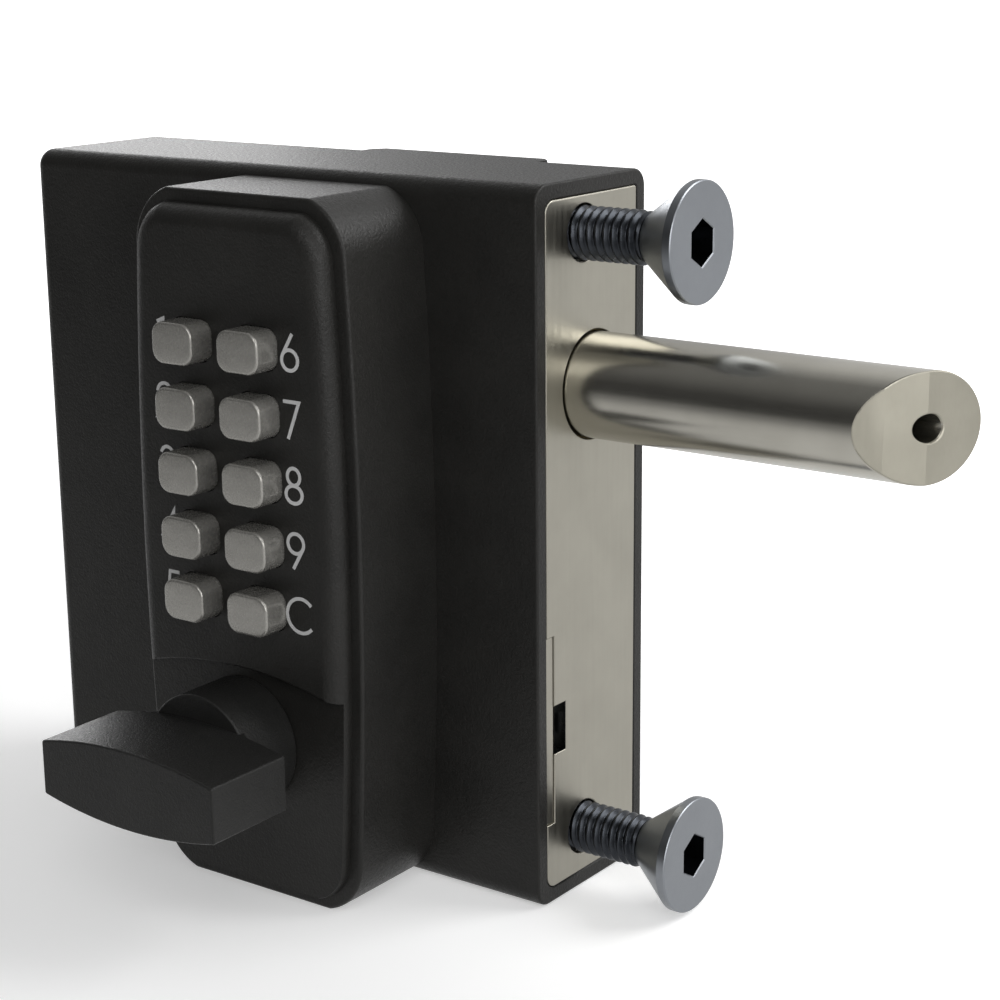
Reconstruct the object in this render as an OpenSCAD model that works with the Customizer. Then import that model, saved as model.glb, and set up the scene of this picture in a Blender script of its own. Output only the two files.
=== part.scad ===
// Keypad gate lock. Millimetres. +X points to the gate frame, +Y away from the keypad, +Z up.
// The origin is the centre of the face on the gate frame, level with the midpoint of the two fixings.

/* [Case] */
// Length of the case away from the gate frame
case_w = 127.2; // [110:0.2:150]
// Depth of the case, front to back
case_d = 36.2; // [35:0.2:44]
// Height of the case
case_h = 138; // [136:1:150]
// Height of the case's middle above the midpoint of the fixings
case_shift_z = -1; // [-2:0.5:1]
// Wall of the case
case_wall = 3; // [2.5:0.1:4]
// Radius of the case's long edges
case_edge_r = 3.5; // [1:0.5:5]
// Radius of the edges of the closed end
case_end_r = 3; // [1:0.5:5]
// Width of the seat inside the mouth that carries the end plate
seat_w = 1.5; // [1:0.1:2]
// Length of that seat
seat_l = 4; // [2:0.5:6]

/* [Rear cover] */
// Width of the rear cover
cover_w = 43.6; // [38:0.2:50]
// Distance of the rear cover's middle from the gate face
cover_from_face = 44.2; // [40:0.2:48]
// Thickness of the rear cover
cover_t = 2.6; // [2:0.1:4]
// Width of the slope at the cover's upright edges
cover_slope = 2.4; // [1:0.1:4]
// Land of the cover on the case round the service opening
cover_land = 6; // [5:0.5:8]
// Distance of the cover screws from the cover's top and bottom
cover_screw_in = 6; // [5:0.5:8]
// Diameter of the cover screws
cover_screw_d = 3; // [2:0.5:3]

/* [End plate] */
// Thickness of the end plate
plate_t = 3; // [2.5:0.1:4]
// Radius of the end plate's front corners
plate_r = 2.5; // [1:0.5:4]
// Gap between the end plate and the mouth of the case
plate_gap = 0.1; // [0.05:0.05:0.3]
// Width of the notch in the plate's front edge
notch_w = 2.4; // [2:0.1:3]
// Height of the notch
notch_h = 37.4; // [30:0.2:42]
// Height of the notch's middle above the case's bottom
notch_up = 34.8; // [34:0.2:40]
// Width of the window beside the notch
window_w = 3.8; // [3:0.1:4]
// Height of the window
window_h = 9.6; // [6:0.2:12]
// How far the strip's face lies behind the plate's face
strip_sunk = 0.3; // [0.1:0.1:0.8]
// Thickness of the strip's inner flange
flange_t = 1.2; // [0.8:0.1:2]
// Height of that flange
flange_h = 28; // [20:1:32]
// How far the flange reaches past the window
flange_past = 1.5; // [1:0.1:2]

/* [Fixings] */
// Half the difference between the case's height and the distance between the fixings
fix_in = 11; // [11:0.5:14]
// Distance of the fixings in front of the case's middle plane
fix_forward = 2.6; // [0:0.2:4]
// Thread diameter of the fixing screws
fix_d = 10; // [8:1:10]
// Radial clearance of the screws in the end plate
fix_clear = 0.35; // [0.2:0.05:0.8]
// Length of the fixing screws
fix_l = 60; // [50:5:80]
// Distance of the screw heads' faces from the gate face as shown
fix_standoff = 25; // [22:0.5:40]
// Diameter of the screw heads
fix_head_d = 22.1; // [20:0.1:24]
// Height of the cylindrical edge of the heads
fix_land = 1.2; // [0.5:0.1:2]
// Length of the heads' cone
fix_cone_l = 9.8; // [6:0.2:11]
// Size across flats of the sockets
fix_hex = 7.5; // [5:0.5:8]
// Depth of the sockets
fix_hex_depth = 5; // [3:0.5:6]
// Outer diameter of the threaded bushes
fix_bush_d = 13.4; // [12:0.2:13.4]
// Length of the threaded bushes
fix_bush_l = 24; // [15:1:26]
// Clearance round the inner bushes in the case
bush_gap = 0.3; // [0.2:0.05:0.6]

/* [Latch bolt] */
// Diameter of the bolt
bolt_d = 20; // [16:0.5:20]
// Distance of the bolt's axis below the case's top
bolt_from_top = 38.7; // [36:0.1:42]
// Distance of the bolt behind the case's middle plane
bolt_back = 0.8; // [0:0.1:1.5]
// How far the bolt's tip stands out of the gate face
bolt_out = 72.8; // [60:0.2:80]
// Radial clearance of the bolt in the end plate
bolt_clear = 0.35; // [0.3:0.05:0.8]
// Radial running clearance of the bolt in its bush
bolt_fit = 0.05; // [0.02:0.01:0.1]
// Wall of the bolt's bush
bolt_bush_wall = 2.4; // [1.5:0.1:2.4]
// Length of the bolt's bush
bolt_bush_l = 22; // [12:1:26]
// Angle of the front part of the bevel, from square across
bevel_front = 52; // [40:1:55]
// Angle of the middle part of the bevel
bevel_mid = 40; // [30:1:45]
// Angle of the rear part of the bevel
bevel_rear = 26; // [15:1:30]
// Width of the front part of the bevel
bevel_front_w = 3.4; // [2:0.1:4]
// Width of the middle part of the bevel
bevel_mid_w = 6.1; // [4:0.1:7]
// Diameter of the hole in the bolt's tip
tip_hole_d = 5; // [3:0.5:6]
// Depth of that hole from the very end
tip_hole_depth = 20; // [16:1:30]

/* [Bolt drive] */
// Thickness of the carriage on the bolt's tail
carriage_t = 4; // [3:0.5:4]
// Width of the carriage round the bolt
carriage_w = 18; // [16:1:20]
// Height of the carriage round the bolt
carriage_h = 18; // [16:1:20]
// Width of the carriage's leg
leg_w = 10; // [6:1:12]
// How far the leg runs up into the carriage
leg_in = 4; // [1:0.5:4.5]
// Depth to which the cam reaches up behind the leg
leg_overlap = 14; // [12:0.5:15]
// Diameter of the carriage screws
carriage_screw_d = 3; // [2:0.5:3]
// Distance of the carriage screws from the bolt's axis
carriage_screw_r = 6.2; // [6:0.1:6.3]
// Length of the carriage screws
carriage_screw_l = 12; // [8:1:16]
// Corner radius of the carriage
carriage_r = 2; // [1:0.5:4]
// Diameter of the guide rod
rod_d = 6; // [4:0.5:6]
// Radial clearance round the guide rod
rod_clear = 0.4; // [0.3:0.05:0.8]
// How far the rod reaches into the bolt
rod_in = 6; // [4:1:8]
// Depth of the bolt's tail bore
tail_bore_l = 34; // [30:1:40]
// Distance of the spring bracket's front from the inside of the closed end
bracket_from_end = 16.1; // [10:0.1:20]
// Thickness of the spring bracket
bracket_t = 4; // [3:0.5:5]
// Height of the spring bracket
bracket_h = 24; // [18:1:30]
// Length of the bracket's foot
bracket_foot_l = 14; // [10:1:20]
// Thickness of the bracket's foot
bracket_foot_t = 2; // [1.5:0.5:3]
// Gap between the bracket and the case's front
bracket_gap = 2; // [0.5:0.5:4]
// Mean diameter of the bolt spring
bolt_spring_d = 11.4; // [10:0.2:13]
// Wire of the bolt spring
bolt_spring_wire = 1.6; // [1:0.1:1.8]
// Turns of the bolt spring
bolt_spring_turns = 9; // [6:1:12]

/* [Keypad housing] */
// Distance of the keypad's middle from the gate face
pad_from_face = 50.7; // [50:0.1:52]
// Height of the keypad housing
housing_h = 136; // [134:0.5:136]
// Height of the keypad housing's middle above the midpoint of the fixings
housing_shift_z = -2; // [-2:0.5:-1]
// Widest width of the keypad housing, half way up
housing_w = 54.6; // [52:0.2:58]
// How far each side bows out between its ends
housing_bow = 2.5; // [1:0.1:3]
// Depth of the keypad housing in front of the case
housing_d = 22.5; // [22:0.1:28]
// Radius of the keypad housing's corners
housing_r = 11; // [10:0.5:14]
// Wall of the keypad housing
housing_wall = 3; // [2:0.1:3.5]

/* [Keypad plate] */
// Width of the ledge round the keypad plate
ledge_w = 2.5; // [1.5:0.1:3]
// How far the keypad plate stands proud of the ledge
pad_proud = 4.5; // [4.5:0.1:6]
// Radius of the plate's rolled edge
roll_r = 4; // [3:0.1:4.4]
// Depth of the plate behind the ledge's face
pad_back_t = 3; // [2:0.1:4]
// Inset of the opening in the housing's front
opening_in = 7; // [6:0.1:8]
// Gap round the keypad plate in that opening
pad_gap = 0.15; // [0.05:0.05:0.3]
// Depth of the flat recess round the knob
recess_depth = 2.5; // [1.5:0.1:3]
// Height of the recess arc's crown below the midpoint of the fixings
recess_drop = 23; // [22:0.2:24]
// Radius of the recess arc
recess_arc_r = 107; // [90:1:140]
// Diameter of the posts behind the keypad plate
post_d = 7.5; // [6.5:0.5:7.5]
// Distance of the posts from the keypad's middle line
post_x = 14.5; // [13:0.1:14.8]
// Gap between the upper posts and the key chassis
post_over_chassis = 1.35; // [0.5:0.05:3]
// Distance of the lower posts below the knob's axis
post_below_knob = 17.9; // [17:0.1:19]
// Diameter of the screws in the posts
post_screw_d = 4; // [3:0.5:4]
// Length of those screws from the case's inner face
post_screw_l = 16; // [10:1:18]
// Clearance round the screws in the case's front
screw_gap = 0.2; // [0.1:0.05:0.4]

/* [Keys] */
// Distance between the two columns of keys
key_pitch_x = 15.9; // [15:0.1:17]
// Distance between the rows of keys
key_pitch_z = 12.25; // [12:0.05:12.4]
// Height of the top row above the midpoint of the fixings
key_top_z = 39.4; // [38:0.1:40]
// Width of a key
key_w = 9.8; // [8:0.1:10.4]
// Height of a key
key_h = 7.8; // [7:0.1:8.4]
// Corner radius of a key
key_r = 2.6; // [1:0.1:3]
// How far a key stands proud of the keypad plate
key_proud = 5.6; // [4:0.1:7]
// Travel of a key
key_travel = 2.5; // [1.5:0.1:3]
// Clearance round a key in its hole
key_clear = 0.3; // [0.3:0.05:0.5]
// How much a key's shoulder is larger than its hole, each side
shoulder_w = 0.7; // [0.5:0.1:0.8]
// Thickness of a key's shoulder
shoulder_t = 1.5; // [1:0.1:2]
// Diameter of a key's stem
stem_d = 3.6; // [3:0.1:4]
// Radial clearance of a key's stem
stem_clear = 0.4; // [0.3:0.05:0.6]
// How far a stem stands out behind the code chamber
stem_past = 0.5; // [0.2:0.1:1]
// Gap between a key's shoulder and the keypad plate
key_rest_gap = 0.1; // [0.05:0.05:0.3]
// Length of a key spring at rest
key_spring_l = 5; // [4.5:0.1:6]
// Mean diameter of a key spring
key_spring_d = 5.6; // [5.4:0.1:6]
// Wire of a key spring
key_spring_wire = 0.5; // [0.3:0.1:0.6]
// Turns of a key spring
key_spring_turns = 3; // [3:1:5]

/* [Code chamber] */
// Width of the chassis plate
chassis_w = 39; // [38.5:0.5:40]
// Height of the chassis plate above its top key row
chassis_over = 7.5; // [6:0.1:7.6]
// Thickness of the chassis plate
chassis_t = 1.5; // [1:0.1:2]
// Distance of the chassis posts from the keypad's middle line
chassis_post_x = 15.8; // [15.6:0.1:15.9]
// Distance of the chassis posts from the chassis plate's top and bottom
chassis_post_in = 4; // [3.5:0.1:5]
// Diameter of the chassis posts
chassis_post_d = 6.6; // [6:0.2:6.8]
// Diameter of the chassis screws
chassis_screw_d = 3; // [2:0.5:3]
// Length of the chassis screws from the case's inner face
chassis_screw_l = 8.5; // [6:0.5:10]
// Thickness of the code slide
slide_t = 1; // [0.6:0.1:1.2]
// Width of the code slide
slide_w = 23; // [22.5:0.1:23.6]
// Gap on each face of the code slide
slide_gap = 0.2; // [0.1:0.05:0.3]
// Thickness of the chamber's back plate
chamber_back_t = 1; // [0.6:0.1:2]
// Lift of the code slide when the knob is turned
slide_lift = 2.1; // [1:0.1:2.4]
// Width of the code slide's tail
slide_tail_w = 12; // [10:0.5:14]

/* [Knob] */
// Depth of the knob's axis below the midpoint of the fixings
knob_drop = 38.1; // [37:0.1:40]
// Diameter of the knob's collar
collar_d = 25.2; // [22:0.2:28]
// Length of the knob's collar
collar_l = 13.4; // [10:0.2:16]
// Gap between the collar and the keypad plate
collar_gap = 0.3; // [0.2:0.05:0.5]
// Length of the crossbar
bar_l = 42.7; // [36:0.1:48]
// Depth of the crossbar, front to back
bar_d = 19.2; // [14:0.2:22]
// Thickness of the crossbar in its middle
bar_mid_t = 15.4; // [14:0.1:18]
// Thickness of the crossbar at its ends
bar_end_t = 10.5; // [8:0.1:12]
// Radius of the blend behind the crossbar at the collar
bar_blend_r = 3.2; // [1:0.1:4]
// Turn of the knob, in degrees
knob_turn = 45; // [30:5:45]
// Diameter of the spindle
spindle_d = 8; // [6:0.5:8]
// How far the spindle reaches into the knob
spindle_in_knob = 18; // [12:1:24]
// Radial running clearance of the spindle
spindle_fit = 0.05; // [0.02:0.01:0.1]
// Clearance round the spindle in the case's front
spindle_room = 2; // [1:0.1:2]
// How far the spindle's end lies in front of the case's back
spindle_short = 3; // [1:0.5:4]
// Outer diameter of the front bush
front_bush_d = 13; // [12:0.5:15]
// Outer diameter of the front bush's flange
front_flange_d = 18; // [16:0.5:20]
// Thickness of that flange
front_flange_t = 1.6; // [1:0.1:2.5]
// Outer diameter of the rear bush
rear_bush_d = 13; // [11:0.5:14]
// Length of the rear bush
rear_bush_l = 8; // [6:0.5:9]
// Diameter of the knob's grub screw
grub_d = 5; // [4:0.5:6]
// How far the grub screw lies inside the collar
grub_sunk = 1.5; // [0.5:0.1:3]

/* [Cam] */
// Length of the cam's arm from the spindle's axis
cam_r = 25; // [22:0.5:26]
// Width of the cam's arm
cam_w = 6; // [5:0.5:8]
// Thickness of the cam's arm
cam_t = 5; // [3:0.5:6]
// Distance of the cam's arm in front of the case's middle plane
cam_forward = 4; // [3:0.5:5]
// Diameter of the cam's hub
hub_d = 16; // [13:0.5:16]
// Length of the cam's hub
hub_l = 10; // [8:0.5:11]
// Gap between the cam's arm and the carriage's leg
cam_gap = 0.4; // [0.3:0.05:0.8]
// Diameter of the cam's cross pin
cam_pin_d = 3; // [2:0.5:4]
// Outer diameter of the retaining ring
clip_d = 12.5; // [11:0.5:14]
// Thickness of the retaining ring
clip_t = 1; // [0.8:0.1:1.5]
// Mean diameter of the knob spring
knob_spring_d = 13.5; // [12:0.5:15]
// Wire of the knob spring
knob_spring_wire = 1.5; // [1:0.1:2]
// Turns of the knob spring
knob_spring_turns = 4; // [3:1:5]
// Play at each end of the knob spring
knob_spring_play = 0.2; // [0.1:0.1:0.5]
// Diameter of the eccentric that lifts the code slide
driver_d = 14; // [13:0.5:16]
// Thickness of that eccentric
driver_t = 2.4; // [1.6:0.1:3]
// Gap between the eccentric and the code slide
driver_gap = 0.1; // [0.05:0.05:0.3]
// Distance of the cam's cross pin from the hub's end
cam_pin_in = 3; // [2.5:0.5:4]
// Opening of the retaining ring
clip_opening = 3; // [2:0.5:5]

/* [Hidden] */
$fn = 48;
eps = 0.01;

// Planes of the case
front_y = -case_d / 2;
back_y = case_d / 2;
inner_y = case_d / 2 - case_wall;
case_top = case_shift_z + case_h / 2;
case_bottom = case_shift_z - case_h / 2;
mouth_h = case_h - 2 * case_wall;
fix_pitch = case_h - 2 * fix_in;

// Rear cover and its service opening
cover_x = -cover_from_face;
service_w = cover_w - 2 * cover_slope - 2 * cover_land;
service_h = case_h - 4 * cover_screw_in;
cover_screw_x = cover_w / 2 - cover_slope - cover_land / 2;
cover_screw_z = case_h / 2 - cover_screw_in;

// End plate
plate_y = inner_y - plate_gap;
notch_y = -plate_y + notch_w;
notch_z = case_bottom + notch_up;
strip_fit = 0.05;
bush_relief = fix_bush_d + 2 * bush_gap;

// Bolt and its drive
keypad_x = -pad_from_face;
knob_z = -knob_drop;
tail_x = keypad_x - cam_w / 2 - cam_gap;
carriage_x = tail_x - carriage_t;
bracket_x = bracket_from_end + case_wall - case_w;
bolt_spring_l = carriage_x - bracket_x;
bolt_r = bolt_d / 2;
bolt_z = case_top - bolt_from_top;
throw = cam_r * knob_turn * PI / 180;
leg_bottom = knob_z + cam_r - leg_overlap;
bevel_rear_w = bolt_d - bevel_front_w - bevel_mid_w;

// Keypad planes, from the ledge forward and back
ledge_y = front_y - housing_d;
pad_y = ledge_y - pad_proud;
floor_y = pad_y + recess_depth;
pad_back_y = ledge_y + pad_back_t;
shoulder_y = pad_back_y + key_rest_gap;
spring_y = shoulder_y + shoulder_t;
chassis_y = spring_y + key_spring_l;
slide_y = chassis_y + chassis_t + slide_gap;
chamber_back_y = slide_y + slide_t + slide_gap;
stem_end_y = chamber_back_y + chamber_back_t + stem_past;
housing_z = housing_shift_z;
chassis_top = key_top_z + chassis_over;
chassis_bottom = key_top_z - 4 * key_pitch_z - chassis_over;
chassis_post_top = chassis_top - chassis_post_in;
chassis_post_bottom = chassis_bottom + chassis_post_in;
post_top = chassis_top + post_over_chassis + post_d / 2;
post_bottom = knob_z - post_below_knob;

// Knob, spindle and cam
collar_back_y = floor_y - collar_gap;
collar_front_y = collar_back_y - collar_l;
bar_front_y = collar_front_y - bar_d;
spindle_front_y = collar_back_y - spindle_in_knob;
rear_bush_y = back_y - rear_bush_l;
spindle_back_y = back_y - spindle_short;
cam_y = -cam_forward;
hub_end_y = cam_y + hub_l;
driver_angle = 90 + knob_turn / 2;
driver_offset = slide_lift / (2 * sin(knob_turn / 2));
driver_top = driver_d / 2 + driver_offset * cos(driver_angle);
slide_bottom = knob_z + driver_top + driver_gap;

KEY_PLACES = [for (i = [0:1]) for (j = [0:4])
    [keypad_x + (i - 0.5) * key_pitch_x, key_top_z - j * key_pitch_z]];

// A rounded rectangle round the origin
module rounded(w, h, r) {
    square([w, h - 2 * r], center = true);
    square([w - 2 * r, h], center = true);
    for (x = [-1, 1]) for (z = [-1, 1])
        translate([x * (w / 2 - r), z * (h / 2 - r)]) circle(r = r);
}

// An upright rectangle with bowed sides and round corners; hw and hh are half sizes
module bowed(hw, hh, bow, rc) {
    side_r = (hh * hh + bow * bow) / (2 * bow);
    mid = hw - side_r;
    cz = hh - rc;
    cx = mid + sqrt(pow(side_r - rc, 2) - cz * cz);
    k = side_r / (side_r - rc);
    tx = mid + k * (cx - mid);
    tz = k * cz;
    difference() {
        intersection() {
            square([2 * hw, 2 * hh], center = true);
            translate([mid, 0]) circle(r = side_r, $fn = 720);
            translate([-mid, 0]) circle(r = side_r, $fn = 720);
        }
        for (x = [-1, 1]) for (z = [-1, 1]) scale([x, z])
            polygon([[cx, cz], [tx, tz], [hw + 5, tz], [hw + 5, hh + 5], [cx, hh + 5]]);
    }
    for (x = [-1, 1]) for (z = [-1, 1])
        translate([x * cx, z * cz]) circle(r = rc, $fn = 64);
}

// Points round the same outline, with side_n steps on each side and corner_n on each corner
function bowed_points(hw, hh, bow, rc, side_n, corner_n) =
    let (side_r = (hh * hh + bow * bow) / (2 * bow), mid = hw - side_r, cz = hh - rc,
        cx = mid + sqrt(pow(side_r - rc, 2) - cz * cz), t = atan2(cz, cx - mid),
        sweep = [for (i = [0:side_n]) t * (2 * i / side_n - 1)],
        side = [for (a = sweep) [mid + side_r * cos(a), side_r * sin(a)]],
        turn = [for (i = [1:corner_n]) t + (90 - t) * i / corner_n],
        half = concat(side, [for (a = turn) [cx + rc * cos(a), cz + rc * sin(a)]]),
        low = [for (i = [corner_n:-1:1]) let (p = half[side_n + i]) [p[0], -p[1]]],
        right = concat(low, half))
    concat(right, [for (p = right) [-p[0], -p[1]]]);

// A shape drawn in X and Z, made solid from y0 back to y1
module slab_y(y0, y1) {
    translate([0, y1, 0]) rotate([90, 0, 0]) linear_extrude(y1 - y0) children();
}

// A shape drawn in Y and Z, made solid from x0 to x1
module slab_x(x0, x1) {
    translate([x0, 0, 0]) rotate([90, 0, 90]) linear_extrude(x1 - x0) children();
}

// Round bars along X and along Y
module bar_x(x0, x1, d, y, z) {
    translate([x0, y, z]) rotate([0, 90, 0]) cylinder(h = x1 - x0, d = d);
}
module bar_y(y0, y1, d, x, z) {
    translate([x, y0, z]) rotate([-90, 0, 0]) cylinder(h = y1 - y0, d = d);
}

// The housing's outline as points, inset by a given amount
function housing_points(inset) = let (hw = housing_w / 2 - inset, hh = housing_h / 2 - inset)
    [for (p = bowed_points(hw, hh, housing_bow, housing_r - inset, 12, 6))
        [keypad_x + p[0], housing_z + p[1]]];

// The housing's outline, inset by a given amount
module housing_outline(inset) {
    translate([keypad_x, housing_z])
        bowed(housing_w / 2 - inset, housing_h / 2 - inset, housing_bow, housing_r - inset);
}

// A coil round the Z axis from z = 0 to z = l, of n turns, as a swept tube with closed ends
module coil(d, wire, l, n, sides = 6, steps = 14) {
    count = n * steps;
    rise = (l - wire) / count;
    tilt = atan(rise * steps / (PI * d));
    rings = [for (i = [0:count]) let (a = 360 * i / steps) [for (k = [0:sides - 1])
        let (b = 360 * k / sides, u = wire / 2 * cos(b), v = wire / 2 * sin(b))
        [(d / 2 + u) * cos(a) + v * sin(tilt) * sin(a), (d / 2 + u) * sin(a) - v * sin(tilt) * cos(a),
            wire / 2 + i * rise + v * cos(tilt)]]];
    points = [for (r = rings) for (p = r) p];
    walls = [for (i = [0:count - 1]) for (k = [0:sides - 1]) for (t = [0:1])
        let (a = i * sides + k, b = i * sides + (k + 1) % sides)
        t == 0 ? [a, b, a + sides] : [b, b + sides, a + sides]];
    start = [for (k = [1:sides - 2]) [0, k + 1, k]];
    end = [for (k = [1:sides - 2]) [count * sides, count * sides + k, count * sides + k + 1]];
    polyhedron(points, concat(walls, start, end), convexity = 8);
}

// The outline of the case's mouth, inset by a gap: round corners in front, square ones behind
module mouth_outline(gap) {
    h = mouth_h - 2 * gap;
    translate([0, case_shift_z]) {
        rounded(2 * (inner_y - gap), h, plate_r - gap);
        translate([0, -h / 2]) square([inner_y - gap, h]);
    }
}

module case() {
    color("#26282a") difference() {
        intersection() {
            slab_x(-case_w, 0) translate([0, case_shift_z]) rounded(case_d, case_h, case_edge_r);
            slab_y(front_y, back_y) translate([0, case_shift_z]) {
                translate([-case_w / 2, 0]) rounded(case_w, case_h, case_end_r);
                translate([-case_w / 2, -case_h / 2]) square([case_w / 2, case_h]);
            }
            translate([0, 0, case_bottom]) linear_extrude(case_h) {
                translate([-case_w / 2, 0]) rounded(case_w, case_d, case_end_r);
                translate([-case_w / 2, -case_d / 2]) square([case_w / 2, case_d]);
            }
        }
        translate([-case_w + case_wall, -inner_y, case_bottom + case_wall])
            cube([case_w - case_wall - plate_t - seat_l, 2 * inner_y, mouth_h]);
        translate([-plate_t - seat_l - eps, -inner_y + seat_w, case_bottom + case_wall + seat_w])
            cube([plate_t + seat_l, 2 * (inner_y - seat_w), mouth_h - 2 * seat_w]);
        translate([-plate_t - seat_l - eps, -fix_forward - bush_relief / 2, case_bottom + case_wall])
            cube([plate_t + seat_l, bush_relief, mouth_h]);
        slab_x(-plate_t, 1) mouth_outline(0);
        bar_y(inner_y - 1, back_y + 1, rear_bush_d + 2 * bush_gap, keypad_x, knob_z);
        translate([cover_x - service_w / 2, inner_y - 1, case_shift_z - service_h / 2])
            cube([service_w, case_wall + 2, service_h]);
        for (x = [-1, 1]) for (z = [-1, 1]) {
            bar_y(inner_y - 1, back_y + 1, cover_screw_d, cover_x + x * cover_screw_x,
                case_shift_z + z * cover_screw_z);
            bar_y(front_y - 1, 1 - inner_y, post_screw_d + 2 * screw_gap, keypad_x + x * post_x,
                z > 0 ? post_top : post_bottom);
            bar_y(front_y - 1, 1 - inner_y, chassis_screw_d + 2 * screw_gap, keypad_x + x * chassis_post_x,
                z > 0 ? chassis_post_top : chassis_post_bottom);
        }
        bar_y(front_y - 1, 1 - inner_y, spindle_d + 2 * spindle_room, keypad_x, knob_z);
    }
}

module rear_cover() {
    color("#26282a") difference() {
        translate([cover_x, back_y, case_bottom]) linear_extrude(case_h)
            polygon([[-cover_w / 2, 0], [cover_w / 2, 0], [cover_w / 2 - cover_slope, cover_t],
                [cover_slope - cover_w / 2, cover_t]]);
        cover_screw_bodies();
    }
}

// The four cover screws, also used to cut their countersunk holes
module cover_screw_bodies() {
    for (x = [-1, 1]) for (z = [-1, 1])
        translate([cover_x + x * cover_screw_x, back_y + cover_t, case_shift_z + z * cover_screw_z])
            rotate([90, 0, 0]) {
                cylinder(h = cover_screw_d / 2, d1 = 2 * cover_screw_d, d2 = cover_screw_d);
                cylinder(h = cover_t + case_wall, d = cover_screw_d);
            }
}

module rear_cover_screws() {
    color("#6a6f76") difference() {
        cover_screw_bodies();
        for (x = [-1, 1]) for (z = [-1, 1])
            translate([cover_x + x * cover_screw_x, back_y + cover_t + 1,
                case_shift_z + z * cover_screw_z])
                rotate([90, 0, 0]) cylinder(h = 2, d = 2, $fn = 6);
    }
}

module end_plate() {
    color("#b5b0a2") difference() {
        slab_x(-plate_t, 0) mouth_outline(plate_gap);
        translate([-plate_t - 1, -plate_y - 1, notch_z - notch_h / 2])
            cube([plate_t + 2, notch_w + 1, notch_h]);
        translate([-plate_t - 1, notch_y - eps, notch_z - window_h / 2])
            cube([plate_t + 2, window_w, window_h]);
        bar_x(-plate_t - 1, 1, bolt_d + 2 * bolt_clear, bolt_back, bolt_z);
        for (z = [-1, 1]) bar_x(-plate_t - 1, 1, fix_d + 2 * fix_clear, -fix_forward, z * fix_pitch / 2);
    }
}

module access_strip() {
    bar_h = notch_h - 2 * strip_fit;
    reach = notch_y + window_w + flange_past;
    color("#a8a496") {
        translate([-plate_t, -plate_y, notch_z - bar_h / 2])
            cube([plate_t - strip_sunk, notch_w - strip_fit, bar_h]);
        translate([-plate_t - flange_t, -inner_y + seat_w + strip_fit, notch_z - flange_h / 2])
            cube([flange_t, reach + inner_y - seat_w - strip_fit, flange_h]);
    }
}

module fixing_bushes() {
    color("#8a8d90") for (z = [-1, 1]) difference() {
        bar_x(-plate_t - fix_bush_l, -plate_t, fix_bush_d, -fix_forward, z * fix_pitch / 2);
        bar_x(-plate_t - fix_bush_l - 1, 0, fix_d, -fix_forward, z * fix_pitch / 2);
    }
}

module fixing_screws() {
    cone_x = fix_standoff - fix_land - fix_cone_l;
    color("#5c6470") for (z = [-1, 1]) translate([0, -fix_forward, z * fix_pitch / 2]) difference() {
        union() {
            bar_x(fix_standoff - fix_l, cone_x, fix_d, 0, 0);
            translate([cone_x, 0, 0]) rotate([0, 90, 0])
                cylinder(h = fix_cone_l, d1 = fix_d, d2 = fix_head_d);
            bar_x(fix_standoff - fix_land, fix_standoff, fix_head_d, 0, 0);
        }
        translate([fix_standoff - fix_hex_depth, 0, 0]) rotate([0, 90, 0])
            cylinder(h = fix_hex_depth + 1, d = fix_hex / cos(30), $fn = 6);
    }
}

module bolt_bush() {
    color("#a58a4a") difference() {
        bar_x(-plate_t - bolt_bush_l, -plate_t, bolt_d + 2 * (bolt_fit + bolt_bush_wall), bolt_back, bolt_z);
        bar_x(-plate_t - bolt_bush_l - 1, 1, bolt_d + 2 * bolt_fit, bolt_back, bolt_z);
    }
}

module latch_bolt() {
    rear_x = bolt_out - bevel_rear_w * tan(bevel_rear);
    mid_x = rear_x - bevel_mid_w * tan(bevel_mid);
    front_x = mid_x - bevel_front_w * tan(bevel_front);
    color("#b9b6ac") difference() {
        intersection() {
            bar_x(tail_x, bolt_out, bolt_d, bolt_back, bolt_z);
            translate([0, bolt_back, bolt_z - bolt_r - 1]) linear_extrude(bolt_d + 2)
                polygon([[tail_x - 1, -bolt_r - 1], [front_x - tan(bevel_front), -bolt_r - 1],
                    [mid_x, bevel_front_w - bolt_r], [rear_x, bevel_front_w + bevel_mid_w - bolt_r],
                    [bolt_out + tan(bevel_rear), bolt_r + 1], [tail_x - 1, bolt_r + 1]]);
        }
        bar_x(bolt_out - tip_hole_depth, bolt_out + 1, tip_hole_d, bolt_back, bolt_z);
        bar_x(tail_x - 1, tail_x + tail_bore_l, rod_d + 2 * rod_clear, bolt_back, bolt_z);
        carriage_screw_bodies();
    }
}

// The screws through the carriage, also used to cut their holes
module carriage_screw_bodies() {
    for (y = [-1, 1]) translate([carriage_x, bolt_back + y * carriage_screw_r, bolt_z]) rotate([0, 90, 0]) {
        cylinder(h = 0.4 * carriage_screw_d, d1 = 1.8 * carriage_screw_d, d2 = carriage_screw_d);
        cylinder(h = carriage_screw_l, d = carriage_screw_d);
    }
}

module bolt_carriage() {
    color("#8f9396") difference() {
        union() {
            slab_x(carriage_x, tail_x) translate([bolt_back, bolt_z])
                rounded(carriage_w, carriage_h, carriage_r);
            translate([carriage_x, -cam_forward + cam_t / 2 - leg_w / 2, leg_bottom])
                cube([carriage_t, leg_w, bolt_z - carriage_h / 2 + leg_in - leg_bottom]);
        }
        bar_x(carriage_x - 1, tail_x + 1, rod_d + 2 * rod_clear, bolt_back, bolt_z);
        carriage_screw_bodies();
    }
}

module carriage_screws() {
    color("#6a6f76") carriage_screw_bodies();
}

module guide_rod() {
    color("#9a9da0") bar_x(bracket_x - bracket_t - 1, tail_x + rod_in, rod_d, bolt_back, bolt_z);
}

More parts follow.
